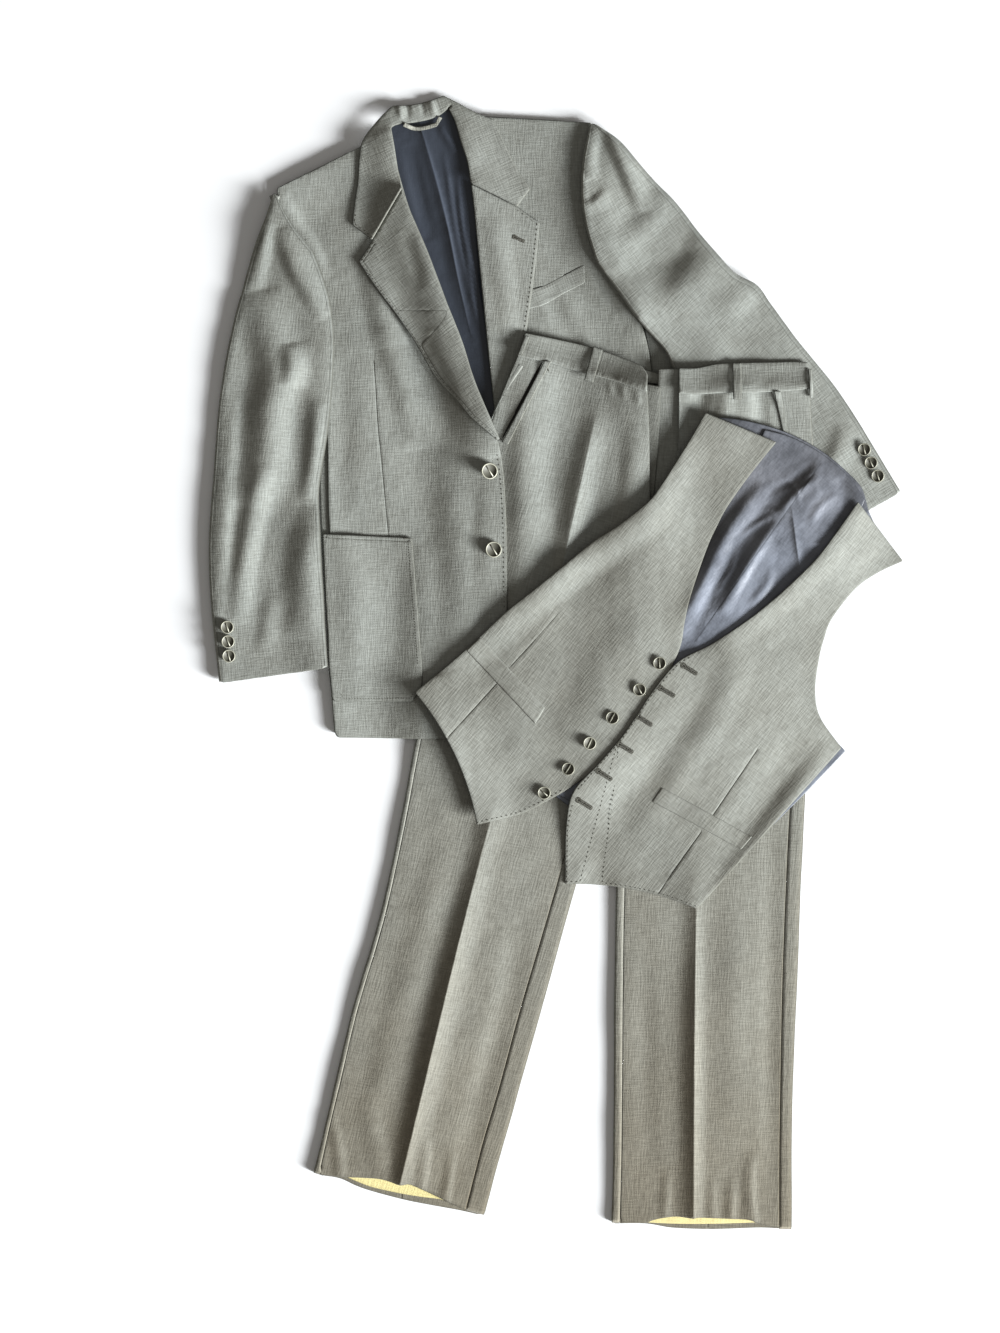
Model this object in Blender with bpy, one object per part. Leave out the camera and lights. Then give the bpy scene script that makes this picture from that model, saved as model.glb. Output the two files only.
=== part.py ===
"""A three-piece suit laid flat: an open jacket, trousers across it and a waistcoat on top.

Tables are in millimetres; each mesh is made in metres. X runs to the viewer's right, Y up the
picture to the shoulders, and Z up from the surface that the suit rests on. Right and left in
names are the wearer's, so the right sleeve is at -X. Every piece is laid in turn on a raster of
the cloth below it, so that it bends over the edges under it and clears them by SEAM_GAP.
"""
import math
from collections import namedtuple

import bmesh
import bpy
import numpy as np

MM = 0.001

# Cloth and construction, in millimetres.
SEAM_GAP = 0.3
SUITING = 1.3
FACED = 1.8
LINING = 1.0
LEG_HEIGHT = 3.6
SLEEVE_HEIGHT = 4.2
SIDE_HEIGHT = 3.8
CREASE_RISE = 2.6
SLEEVE_PUFF = 1.6
ROW_STEP = 34.0
SMALL_STEP = 18.0
BACK_STEP = 90.0
LAYER_COLUMNS = 5

# Across a trouser front: columns as shares of the way to the crease and on from it, and the rise
# of each as a share of CREASE_RISE.
LEFT_SHARES = (0.0, 0.45, 0.8, 1.0)
RIGHT_SHARES = (0.3, 0.65, 1.0)
RISE_SHARES = (0.0, 0.35, 0.3, 1.0, 0.9, 0.5, 0.0)

# How the cloth spans an edge: its fall, in mm, is SAG times the distance squared.
SAG = 0.0045
CELL = 2.0
HALF_X = 460.0
HALF_Y = 730.0
BLUR_CELLS = 4
SAMPLE_STEP = 3.0
PAINT_STEP = 0.9
SETTLE_ROUNDS = 12
SETTLE_SHARE = 0.6

# Buttons, in millimetres.
FRONT_BUTTON_RADIUS = 10.0
SMALL_BUTTON_RADIUS = 8.0
BUTTON_THICKNESS = 2.6
BUTTON_SIDES = 14
SHANK_RADIUS = 2.2
SHANK_HEIGHT = 2.0
RIM_WIDTH = 2.0
RIM_SLOPE = 0.8
RIM_ROUNDING = 0.6
RECESS = 0.7

Section = namedtuple("Section", "left_x left_y right_x right_y bow corner", defaults=(0.0, False))
LegSection = namedtuple(
    "LegSection",
    "left_x left_y right_x right_y left_turn right_turn bow corner",
    defaults=(0.0, False),
)
FrontSection = namedtuple(
    "FrontSection",
    "left_x left_y right_x right_y crease bow corner",
    defaults=(0.0, False),
)
Fold = namedtuple("Fold", "start_x start_y end_x end_y width height")
Button = namedtuple("Button", "name x y radius tilt_x tilt_y")
Finish = namedtuple("Finish", "colour roughness metallic")

OLIVE_WOOL = Finish((0.30, 0.30, 0.26), 0.85, 0.0)
SLATE_SATIN = Finish((0.055, 0.065, 0.085), 0.35, 0.0)
LILAC_SATIN = Finish((0.36, 0.36, 0.45), 0.35, 0.0)
CREAM_COTTON = Finish((0.80, 0.72, 0.40), 0.80, 0.0)
BRAID = Finish((0.50, 0.49, 0.42), 0.60, 0.0)
PALE_METAL = Finish((0.55, 0.53, 0.46), 0.35, 0.7)

# Jacket. Rows run from the shoulder to the hem, each from the viewer's left to right.
BACK_RIGHT = [
    Section(-343, 588, -168.5, 672),
    Section(-320, 523, -150.5, 598),
    Section(-296, 452, -112.5, 478),
    Section(-278, 405, -98.5, 400),
    Section(-269, 365, -90.5, 355),
    Section(-264, 225, -61.5, 220),
    Section(-255, 50, -38.5, 50),
    Section(-244, -86, -20.5, -88),
]
BACK_LEFT = [
    Section(-167.5, 672, 44, 670),
    Section(-149.5, 598, 50, 600),
    Section(-111.5, 478, 98, 458),
    Section(-97.5, 400, 170, 398),
    Section(-89.5, 355, 205, 338),
    Section(-60.5, 220, 217, 220),
    Section(-37.5, 50, 226, 50),
    Section(-19.5, -88, 231, -86),
]
BACK_LINING = [
    Section(-208, 682, -136, 698),
    Section(-216, 625, -98, 650),
    Section(-206, 578, -90, 590),
    Section(-182, 520, -84, 520),
    Section(-160, 450, -77, 450),
    Section(-134, 380, -68, 380),
    Section(-104, 305, -55, 305),
]
SIDE_RIGHT = [
    LegSection(-301, 372, -241, 372, 12, 30),
    LegSection(-299, 300, -239, 300, 12, 30),
    LegSection(-296, 225, -236, 225, 12, 30),
    LegSection(-293, 150, -233, 150, 12, 30),
    LegSection(-287, 50, -227, 50, 12, 30),
    LegSection(-281, -40, -221, -40, 12, 30),
    LegSection(-276, -89, -216, -89, 12, 30),
]
SIDE_LEFT = [
    Section(108, 432, 150, 436),
    Section(116, 390, 178, 396),
    Section(123, 340, 205, 340),
    Section(133, 250, 216, 250),
    Section(148, 100, 224, 100),
    Section(163, -84, 230, -84),
]
FRONT_LEFT = [
    Section(-112, 686, 44, 677),
    Section(-112, 650, 45, 643),
    Section(-103, 600, 46, 600),
    Section(-99, 550, 52, 555),
    Section(-94, 490, 74, 500),
    Section(-88, 435, 98, 450),
    Section(-84, 385, 113, 405),
    Section(-79, 335, 121, 360),
    Section(-68, 250, 135, 250),
    Section(-58, 100, 150, 100),
    Section(-45, -20, 160, -20),
    Section(-10, -85, 165, -85),
]
FRONT_RIGHT = [
    Section(-349, 595, -206, 666),
    Section(-346, 560, -199, 625),
    Section(-336, 520, -185, 575),
    Section(-318, 475, -162, 520),
    Section(-303, 425, -140, 462),
    Section(-292, 370, -118, 402),
    Section(-288, 320, -98, 345),
    Section(-286, 270, -71, 272),
    Section(-285, 200, -63, 200),
    Section(-280, 100, -61, 100),
    Section(-273, 0, -61, 0),
    Section(-269, -55, -64, -50),
    Section(-266, -92, -85, -95),
]
LAPEL_RIGHT = [
    Section(-229.7, 529.8, -192.7, 592.8),
    Section(-238, 516, -184, 570),
    Section(-247, 503, -176, 551, 0, True),
    Section(-225, 470, -158, 508),
    Section(-200, 437, -145, 472),
    Section(-175, 400, -130, 436),
    Section(-150, 357, -116, 400),
    Section(-125, 330, -103, 358),
    Section(-108, 309, -90, 326),
    Section(-90, 293, -80, 303),
    Section(-74, 279, -70, 281),
]
LAPEL_LEFT = [
    Section(-106.5, 600.4, -48.2, 571.6),
    Section(-104, 580, -34, 561),
    Section(-102, 562, -20, 552, 0, True),
    Section(-98, 520, -23, 522),
    Section(-94, 480, -28, 478),
    Section(-89, 430, -35, 428),
    Section(-84, 380, -43, 378),
    Section(-79, 335, -56, 335),
    Section(-76, 305, -68, 305),
]
COLLAR = [
    Section(-230, 530, -255, 549, 0, True),
    Section(-211.5, 561.5, -252, 577),
    Section(-193, 593, -248, 604, 0, True),
    Section(-198, 622, -246, 634),
    Section(-202, 648, -241, 656),
    Section(-206, 670, -222, 681),
    Section(-198, 674, -205, 698),
    Section(-176, 677, -177, 700),
    Section(-158, 681, -157, 705),
    Section(-144, 687, -141, 711),
    Section(-135, 695, -125, 703),
    Section(-127, 679, -101, 690),
    Section(-119, 652, -78, 681),
    Section(-111, 627, -64, 651),
    Section(-107, 601, -49, 620, 0, True),
    Section(-78, 587, -40, 606),
    Section(-48, 572, -32, 594),
]
PATCH_POCKET = [
    Section(-292, 163, -180, 158),
    Section(-289, 100, -176, 108),
    Section(-285, 30, -170, 30),
    Section(-280, -25, -168, -28),
    Section(-268, -47, -180, -47),
]
BREAST_WELT = [
    Section(-40, 443, -42, 466),
    Section(-14, 450, -15, 473),
    Section(9, 463, 8, 485),
    Section(36, 477, 35, 499),
]
HANGER_LOOP = [
    Section(-192, 672, -189, 677),
    Section(-178, 667, -177, 672),
    Section(-163, 668, -164, 673),
    Section(-149, 672, -151, 677),
    Section(-142, 683, -147, 685),
]
SLEEVE_RIGHT = [
    LegSection(-352, 592, -304, 517, 10, 12, -4),
    LegSection(-364, 556, -292, 485, 10, 12),
    LegSection(-377, 520, -283, 452, 10, 12),
    LegSection(-390, 475, -278, 415, 10, 12),
    LegSection(-403, 428, -278, 378, 10, 12),
    LegSection(-413, 380, -281, 332, 10, 12),
    LegSection(-422, 320, -287, 280, 10, 12),
    LegSection(-428, 240, -296, 225, 10, 12),
    LegSection(-434, 150, -295, 145, 10, 12),
    LegSection(-432, 85, -291, 88, 10, 12),
    LegSection(-427, 30, -288, 35, 10, 12),
    LegSection(-421, -24, -285, -5, 10, 12),
]
SLEEVE_LEFT = [
    LegSection(52, 500, 45, 678, 12, 10, 17),
    LegSection(66, 481, 76, 654, 12, 10, 6),
    LegSection(84, 457, 100, 627, 12, 10),
    LegSection(108, 425, 125, 600, 12, 10),
    LegSection(136, 392, 154, 569, 12, 10),
    LegSection(150, 362, 187, 525, 12, 10),
    LegSection(176, 327, 220, 488, 12, 10),
    LegSection(194, 309, 249, 472, 12, 10),
    LegSection(214, 288, 266, 450, 12, 10),
    LegSection(243, 253, 300, 404, 12, 10),
    LegSection(273, 213, 350, 343, 12, 10),
    LegSection(295, 179, 400, 265, 12, 10),
    LegSection(313, 149, 431, 215, 12, 10),
]

# Trousers. The back of each leg turns over both edges of the front by left_turn and right_turn.
LEG_BACK_LEFT = [
    LegSection(138, 348, 318, 348, 6, 8),
    LegSection(135, 300, 321, 300, 6, 8),
    LegSection(130, 240, 324, 240, 6, 8),
    LegSection(121, 150, 325, 150, 7, 10),
    LegSection(107, 60, 324, 60, 9, 12),
    LegSection(92, -30, 320, -25, 11, 16),
    LegSection(84, -100, 315, -100, 12, 19),
    LegSection(79, -200, 310, -200, 12, 20),
    LegSection(75, -284, 306, -284, 12, 20),
    LegSection(73, -400, 302, -396, 12, 20),
    LegSection(72, -547, 296, -547, 12, 18),
    LegSection(71, -630, 295, -635, 12, 17),
    LegSection(69, -699, 295, -708, 12, 17, -3),
]
LEG_FRONT_LEFT = [
    FrontSection(153, 346, 317, 347, 0.42),
    FrontSection(153, 300, 319, 300, 0.42),
    FrontSection(150, 240, 322, 240, 0.42),
    FrontSection(138, 150, 318, 150, 0.44),
    FrontSection(115, 60, 314, 60, 0.46),
    FrontSection(101, -30, 306, -25, 0.48),
    FrontSection(95, -100, 298, -100, 0.49),
    FrontSection(90, -200, 291, -200, 0.49),
    FrontSection(86, -284, 287, -284, 0.49),
    FrontSection(84, -400, 283, -396, 0.48),
    FrontSection(83, -547, 280, -547, 0.47),
    FrontSection(82, -630, 279, -635, 0.465),
    FrontSection(80, -697, 279, -704, 0.46, 8),
]
LEG_BACK_RIGHT = [
    LegSection(-46, 380, 134, 346, 6, 6),
    LegSection(-75, 325, 132, 300, 6, 6),
    LegSection(-98, 260, 128, 240, 6, 6),
    LegSection(-122, 150, 118, 150, 7, 7),
    LegSection(-140, 60, 103, 60, 8, 12),
    LegSection(-158, -20, 88, -30, 8, 20),
    LegSection(-176, -96, 73, -100, 8, 25),
    LegSection(-197, -207, 44, -207, 8, 25),
    LegSection(-222, -320, 13, -320, 8, 26),
    LegSection(-255, -432, -18, -432, 8, 28),
    LegSection(-277, -525, -46, -532, 8, 27),
    LegSection(-288, -572, -66, -602, 8, 26),
    LegSection(-301, -627, -90, -690, 8, 25, -10),
]
LEG_FRONT_RIGHT = [
    FrontSection(-47, 388, 114, 343, 0.60),
    FrontSection(-73, 325, 116, 300, 0.61),
    FrontSection(-95, 260, 117, 240, 0.58),
    FrontSection(-118, 150, 116, 150, 0.55),
    FrontSection(-134, 60, 92, 60, 0.53),
    FrontSection(-152, -20, 70, -30, 0.51),
    FrontSection(-169, -96, 49, -100, 0.50),
    FrontSection(-190, -207, 20, -207, 0.495),
    FrontSection(-215, -320, -12, -320, 0.50),
    FrontSection(-248, -432, -45, -432, 0.52),
    FrontSection(-270, -525, -72, -532, 0.525),
    FrontSection(-281, -570, -91, -596, 0.53),
    FrontSection(-294, -629, -113, -682, 0.54, 8),
]
FLY_UNDERLAP = [
    Section(128, 369, 162, 369),
    Section(126, 330, 162, 330),
    Section(121, 290, 160, 290),
    Section(118, 240, 158, 240),
    Section(115, 190, 150, 190),
]
WAISTBAND_BACK_RIGHT = [
    Section(-46, 386, -37, 410),
    Section(36, 370, 40, 392),
    Section(80, 354, 86, 376),
    Section(132, 349.5, 132, 362),
]
WAISTBAND_BACK_LEFT = [
    Section(132.6, 349.5, 132.6, 365),
    Section(200, 349.5, 200, 370),
    Section(260, 349.5, 260, 373),
    Section(311, 349.5, 311, 373),
]
WAISTBAND_RIGHT = [
    Section(-49, 385, -39, 414),
    Section(-12, 379, 4, 405.5),
    Section(36, 365.5, 42, 396.5),
    Section(72, 356, 86, 382),
    Section(101, 345, 106, 373),
    Section(113.5, 339.5, 114.5, 362),
]
WAISTBAND_LEFT = [
    Section(153, 338, 153, 369.5),
    Section(178, 338, 176, 370),
    Section(205, 340, 200, 375),
    Section(250, 341, 250, 377),
    Section(300, 343, 300, 378),
    Section(318, 344, 314.5, 377),
]
HEM_FACING_RIGHT = [
    Section(-236, -634, -137, -662, 6),
    Section(-240, -650, -138, -680, -6),
]
HEM_FACING_LEFT = [
    Section(112, -678, 252, -680, 4),
    Section(112, -695, 252, -695, -3),
]
SLASH_WELT_RIGHT = [
    Section(-14.5, 379, -6, 378),
    Section(-42, 326, -34, 325),
    Section(-68, 277, -60, 274),
]
SLASH_WELT_LEFT = [
    Section(272, 341, 280.5, 341),
    Section(279, 310, 286.5, 310),
    Section(283.5, 288, 290, 288),
]
BELT_LOOPS = {
    "trousers_belt_loop_right_front": [Section(46.5, 397, 58.5, 393), Section(35, 354.5, 46.5, 351.5)],
    "trousers_belt_loop_right_side": [Section(-38.5, 411, -33, 409), Section(-48, 387, -42.5, 385)],
    "trousers_belt_loop_left_front": [Section(220, 376, 231.5, 376), Section(221, 330, 232, 330)],
    "trousers_belt_loop_left_side": [Section(314.5, 369, 319.5, 368), Section(317, 332, 322, 332)],
}

# Waistcoat. Rows run from each shoulder to the hem.
VEST_FRONT_RIGHT = [
    Section(186, 314, 275, 277),
    Section(166, 279, 245, 240),
    Section(142, 241, 215, 198),
    Section(116, 204, 188, 143),
    Section(84, 178, 168, 85),
    Section(46, 153, 154, 18, 0, True),
    Section(15, 128, 128, -37),
    Section(-24, 96, 88, -87),
    Section(-62, 66, 50, -131),
    Section(-100, 30, 9, -160, 0, True),
    Section(-140, -5, -45, -188),
    Section(-177, -35, -99, -201, 12),
]
VEST_FRONT_LEFT = [
    Section(377, 203, 434, 129),
    Section(350, 165, 402, 114),
    Section(323, 130, 374, 94),
    Section(285, 93, 345, 57),
    Section(240, 56, 329, 8),
    Section(195, 26, 324, -32),
    Section(152, 3, 330, -66, 0, True),
    Section(120, -34, 357, -105, 0, True),
    Section(82, -90, 305, -163),
    Section(50, -127, 262, -211),
    Section(21, -160, 228, -249),
    Section(12, -205, 202, -278),
    Section(11, -275, 176, -306, 9),
]
VEST_BACK = [
    Section(188, 309, 430, 133, 50),
    Section(142, 236, 393, 113, 8),
    Section(86, 174, 334, 40),
    Section(44, 146, 322, -18),
    Section(14, 122, 331, -72),
    Section(-24, 90, 362, -109),
    Section(-60, 60, 312, -161),
    Section(-97, 27, 240, -232),
    Section(-168, -38, 174, -298),
]
VEST_LINING = [
    Section(262, 288, 386, 205, 10),
    Section(232, 240, 365, 162),
    Section(198, 185, 330, 118),
    Section(172, 130, 285, 78),
    Section(150, 72, 240, 42),
    Section(138, 18, 190, 8),
    Section(112, -28, 150, -32),
    Section(60, -92, 108, -88),
    Section(8, -146, 50, -150),
    Section(-6, -157, 30, -180),
]
VEST_WELT_RIGHT = [
    Section(-112, 17, -95, 33),
    Section(-69, -29, -54, -11),
    Section(-26, -75, -14, -55),
]
VEST_WELT_LEFT = [
    Section(120, -172, 132, -154),
    Section(176, -202, 189, -185),
    Section(231, -232, 245, -216),
]

# Large folds that lie in the cloth, as soft ridges.
TROUSER_RIGHT_FOLDS = [
    Fold(-5, 385, -45, 110, 46, 2.6),
    Fold(52, 330, 14, 140, 40, 3.0),
    Fold(96, 350, 80, 180, 50, 1.8),
]
TROUSER_LEFT_FOLDS = [Fold(222, 360, 236, 230, 52, 2.2)]
SLEEVE_RIGHT_FOLDS = [
    Fold(-348, 560, -340, 320, 46, 2.4),
    Fold(-330, 250, -345, 30, 60, 1.2),
    Fold(-300, 440, -305, 300, 40, 1.6),
]
SLEEVE_LEFT_FOLDS = [
    Fold(40, 660, 62, 560, 44, 2.2),
    Fold(80, 610, 170, 480, 60, 2.0),
    Fold(200, 450, 330, 300, 60, 1.2),
]
FRONT_RIGHT_FOLDS = [
    Fold(-240, 470, -255, 300, 60, 1.8),
    Fold(-130, 260, -120, 20, 80, 1.2),
]
FRONT_LEFT_FOLDS = [Fold(-5, 640, 0, 520, 60, 1.2)]
VEST_RIGHT_FOLDS = [Fold(170, 200, 60, -40, 110, 1.6)]
VEST_LEFT_FOLDS = [Fold(320, 60, 130, -200, 120, 1.6), Fold(345, -110, 215, -255, 60, 1.6)]
LINING_FOLDS = [Fold(-155, 640, -100, 420, 26, 1.2)]
SATIN_FOLDS = [Fold(300, 262, 190, 90, 36, 1.4)]

BUTTONS = [
    Button("jacket_button_front_upper", -83, 241, FRONT_BUTTON_RADIUS, 4, -18),
    Button("jacket_button_front_lower", -78, 143, FRONT_BUTTON_RADIUS, 4, -6),
    Button("jacket_button_cuff_right_upper", -411, 46, SMALL_BUTTON_RADIUS, 0, -8),
    Button("jacket_button_cuff_right_middle", -410, 28, SMALL_BUTTON_RADIUS, 0, -8),
    Button("jacket_button_cuff_right_lower", -409, 10, SMALL_BUTTON_RADIUS, 0, -8),
    Button("jacket_button_cuff_left_upper", 385, 268, SMALL_BUTTON_RADIUS, 8, 8),
    Button("jacket_button_cuff_left_middle", 393.5, 251.5, SMALL_BUTTON_RADIUS, 8, 8),
    Button("jacket_button_cuff_left_lower", 402, 235, SMALL_BUTTON_RADIUS, 8, 8),
    Button("waistcoat_button_1", 129, 1, SMALL_BUTTON_RADIUS, 2, 4),
    Button("waistcoat_button_2", 104, -32, SMALL_BUTTON_RADIUS, 4, 6),
    Button("waistcoat_button_3", 70, -67, SMALL_BUTTON_RADIUS, -3, 6),
    Button("waistcoat_button_4", 42, -99, SMALL_BUTTON_RADIUS, 2, -6),
    Button("waistcoat_button_5", 15, -131, SMALL_BUTTON_RADIUS, -4, 5),
    Button("waistcoat_button_6", -15, -161, SMALL_BUTTON_RADIUS, 3, 3),
]


def hermite(points, breaks, parameter):
    """A smooth line through points, with corners at breaks, read at parameter (point indexes)."""
    points = np.asarray(points, float)
    last = len(points) - 1
    lengths = np.linalg.norm(np.diff(points, axis=0), axis=1) + 1e-9
    out = np.empty((len(parameter), 2))
    for k, value in enumerate(parameter):
        i = min(int(value), last - 1)
        t = value - i
        chord = (points[i + 1] - points[i]) / lengths[i]
        start = chord
        end = chord
        if i > 0 and not breaks[i]:
            start = (points[i + 1] - points[i - 1]) / (lengths[i] + lengths[i - 1])
        if i + 1 < last and not breaks[i + 1]:
            end = (points[i + 2] - points[i]) / (lengths[i] + lengths[i + 1])
        a = 2 * t**3 - 3 * t**2 + 1
        b = t**3 - 2 * t**2 + t
        c = t**3 - t**2
        out[k] = a * points[i] + b * start * lengths[i] + (1 - a) * points[i + 1] + c * end * lengths[i]
    return out


class Rows:
    """The rows of a piece: ends and bow of each, read smoothly from its table."""

    def __init__(self, table, step):
        left = np.array([(s.left_x, s.left_y) for s in table], float)
        right = np.array([(s.right_x, s.right_y) for s in table], float)
        breaks = [s.corner for s in table]
        middle = (left + right) / 2
        parameter = [0.0]
        for i, length in enumerate(np.linalg.norm(np.diff(middle, axis=0), axis=1)):
            count = max(1, round(length / step))
            parameter.extend(i + (k + 1) / count for k in range(count))
        self.table = table
        self.parameter = np.array(parameter)
        self.left = hermite(left, breaks, self.parameter)
        self.right = hermite(right, breaks, self.parameter)
        self.bow = self.column("bow")
        across = self.right - self.left
        self.width = np.linalg.norm(across, axis=1)
        self.along = across / self.width[:, None]
        self.up = np.stack([-self.along[:, 1], self.along[:, 0]], axis=1)

    def column(self, name):
        values = [getattr(section, name) for section in self.table]
        return np.interp(self.parameter, np.arange(len(values)), values)

    def points(self, distance):
        """Points at a distance, in mm, from each row's left end: an array of rows by columns."""
        share = distance / self.width[:, None]
        lift = self.bow[:, None] * 4 * share * (1 - share)
        straight = self.left[:, None] + self.along[:, None] * distance[..., None]
        return straight + self.up[:, None] * lift[..., None]


class Heap:
    """The height of the cloth laid so far, on square cells. The bare floor lets a piece lie at zero."""

    def __init__(self):
        self.columns = round(2 * HALF_X / CELL)
        self.lines = round(2 * HALF_Y / CELL)
        self.top = np.full((self.lines, self.columns), -SEAM_GAP)

    def cells(self, x, y):
        i = np.clip(((y + HALF_Y) / CELL).astype(int), 0, self.lines - 1)
        j = np.clip(((x + HALF_X) / CELL).astype(int), 0, self.columns - 1)
        return i, j

    def paint(self, points):
        """Raise the heap to a grid of points."""
        spread = patch_samples(points, PAINT_STEP)
        i, j = self.cells(spread[..., 0], spread[..., 1])
        np.maximum.at(self.top, (i, j), spread[..., 2])

    def widened(self):
        """The heap grown by one cell each way, so that nothing between samples is missed."""
        wide = self.top.copy()
        for axis in (0, 1):
            wide = np.maximum(wide, np.maximum(np.roll(wide, 1, axis), np.roll(wide, -1, axis)))
        return wide

    def cover(self):
        """A cloth over the heap: it leaves each edge level and falls away as a parabola."""
        field = self.widened()
        reach = int(math.sqrt(max(field.max(), 0.0) / SAG) / CELL) + 1
        for axis in (0, 1):
            base = field
            for shift in range(1, reach + 1):
                fall = SAG * (shift * CELL) ** 2
                near = np.maximum(np.roll(base, shift, axis), np.roll(base, -shift, axis))
                field = np.maximum(field, near - fall)
        smooth = field
        for axis in (0, 1):
            total = sum(np.roll(smooth, shift, axis) for shift in range(-BLUR_CELLS, BLUR_CELLS + 1))
            smooth = total / (2 * BLUR_CELLS + 1)
        return np.maximum(field, smooth)

    def height(self, x, y, field):
        i, j = self.cells(x, y)
        return field[i, j]


def patch_weights(points, step):
    """Corner weights of samples spread over the two triangles of each quad of a grid."""
    edges = [np.diff(points[..., :2], axis=axis) for axis in (0, 1)]
    longest = max(np.linalg.norm(edge, axis=-1).max() for edge in edges)
    count = max(2, math.ceil(longest / step) + 1)
    u, v = np.meshgrid(np.linspace(0, 1, count), np.linspace(0, 1, count))
    u = u.ravel()
    v = v.ravel()
    return np.stack([1 - np.maximum(u, v), np.maximum(u - v, 0), np.minimum(u, v), np.maximum(v - u, 0)])


def corners(grid):
    """The four corners of each quad of a grid, in order round it."""
    return [grid[:-1, :-1], grid[:-1, 1:], grid[1:, 1:], grid[1:, :-1]]


def patch_samples(points, step):
    """Points spread over every quad of a grid, as far apart as step at most."""
    weights = patch_weights(points, step)
    return sum(corner[..., None, :] * weight[:, None] for corner, weight in zip(corners(points), weights))


def rest(heap, xy, close=False):
    """Heights of a grid of points laid on the heap, whose flat triangles clear all of it.

    A close piece, such as a welt, follows the cloth below it instead of spanning its edges.
    """
    field = heap.widened()
    floor = heap.height(xy[..., 0], xy[..., 1], field if close else heap.cover()) + SEAM_GAP
    weights = patch_weights(xy, SAMPLE_STEP)
    spread = patch_samples(xy, SAMPLE_STEP)
    need = heap.height(spread[..., 0], spread[..., 1], field) + SEAM_GAP
    z = floor.copy()
    lift = (need - blend(z, weights)).max(axis=-1).clip(0)
    raised = np.zeros(z.shape)
    for corner in corners(raised):
        np.maximum(corner, lift, out=corner)
    z += raised
    settle(z, floor, need, weights)
    return z


def blend(z, weights):
    """Heights of the samples of each quad, from the heights of its corners."""
    return sum(corner[..., None] * weight for corner, weight in zip(corners(z), weights))


def settle(z, floor, need, weights):
    """Lower raised points step by step, as far as their triangles still clear the heap."""
    odd = np.indices(z.shape) % 2
    for turn in range(4 * SETTLE_ROUNDS):
        room = z - floor
        slack = blend(z, weights) - need
        for corner, weight in zip(corners(room), weights):
            used = weight > 0
            np.minimum(corner, (slack[..., used] / weight[used]).min(axis=-1), out=corner)
        chosen = (odd[0] == turn % 2) & (odd[1] == turn // 2 % 2)
        z -= np.where(chosen, SETTLE_SHARE * room.clip(0), 0)


def ridges(xy, folds):
    """Height added by each fold: a soft ridge along a line, fading out at both ends."""
    total = np.zeros(xy.shape[:-1])
    for fold in folds:
        start = np.array((fold.start_x, fold.start_y), float)
        run = np.array((fold.end_x, fold.end_y), float) - start
        length = np.linalg.norm(run)
        offset = xy - start
        along = np.clip((offset @ run) / length**2, 0, 1)
        away = np.abs(offset[..., 0] * run[1] - offset[..., 1] * run[0]) / length
        section = 0.5 + 0.5 * np.cos(np.pi * np.clip(away / fold.width, 0, 1))
        total += fold.height * section * np.sin(np.pi * along)
    return total


def material(name, finish):
    made = bpy.data.materials.new(name)
    made.use_nodes = True
    shader = made.node_tree.nodes["Principled BSDF"]
    shader.inputs["Base Color"].default_value = (*finish.colour, 1)
    shader.inputs["Roughness"].default_value = finish.roughness
    shader.inputs["Metallic"].default_value = finish.metallic
    made.diffuse_color = (*finish.colour, 1)
    return made


def add_object(name, vertices, faces, finish):
    """An object from millimetre points and faces, with its faces turned outward."""
    mesh = bpy.data.meshes.new(name)
    mesh.from_pydata([tuple(MM * value for value in vertex) for vertex in vertices], [], faces)
    tidy = bmesh.new()
    tidy.from_mesh(mesh)
    bmesh.ops.recalc_face_normals(tidy, faces=tidy.faces)
    tidy.to_mesh(mesh)
    tidy.free()
    mesh.materials.append(material(name, finish))
    made = bpy.data.objects.new(name, mesh)
    bpy.context.scene.collection.objects.link(made)
    return made


def wall(name, outer, inner, finish):
    """A closed wall of cloth between two grids of points with the same rows and columns."""
    rows, columns = outer.shape[:2]
    vertices = np.concatenate([outer.reshape(-1, 3), inner.reshape(-1, 3)])
    under = rows * columns
    faces = []

    def quad(a, b, c, d):
        faces.append((a, b, c))
        faces.append((a, c, d))

    for i in range(rows - 1):
        for j in range(columns - 1):
            a = i * columns + j
            quad(a, a + columns, a + columns + 1, a + 1)
            quad(under + a, under + a + 1, under + a + columns + 1, under + a + columns)
    rim = list(range(columns))
    rim += [i * columns + columns - 1 for i in range(1, rows)]
    rim += [(rows - 1) * columns + j for j in range(columns - 2, -1, -1)]
    rim += [i * columns for i in range(rows - 2, 0, -1)]
    for a, b in zip(rim, rim[1:] + rim[:1]):
        quad(a, b, under + b, under + a)
    return add_object(name, vertices, faces, finish)


def even_columns(rows, width):
    """Distances of evenly spaced columns, about width apart in the widest row."""
    count = max(2, round(rows.width.max() / width) + 1)
    return rows.width[:, None] * np.linspace(0, 1, count)


def with_height(xy, z):
    return np.concatenate([xy, z[..., None]], axis=-1)


def soft_edges(shape, puff):
    """A rise that is zero along a grid's border and puff within it."""
    u = np.linspace(0, 1, shape[1])
    v = np.linspace(0, 1, shape[0])
    return puff * np.outer(np.sqrt(np.sin(np.pi * v).clip(0)), np.sqrt(np.sin(np.pi * u).clip(0)))


def sheet(
    heap,
    name,
    table,
    thickness,
    finish,
    step=ROW_STEP,
    width=ROW_STEP,
    puff=0.0,
    folds=(),
    close=False,
):
    """One layer of cloth laid on the heap, not yet added to it. Returns its upper points."""
    rows = Rows(table, step)
    xy = rows.points(even_columns(rows, width))
    z = rest(heap, xy, close) + soft_edges(xy.shape[:2], puff) + ridges(xy, folds)
    top = with_height(xy, z + thickness)
    wall(name, top, with_height(xy, z), finish)
    return top


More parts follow.
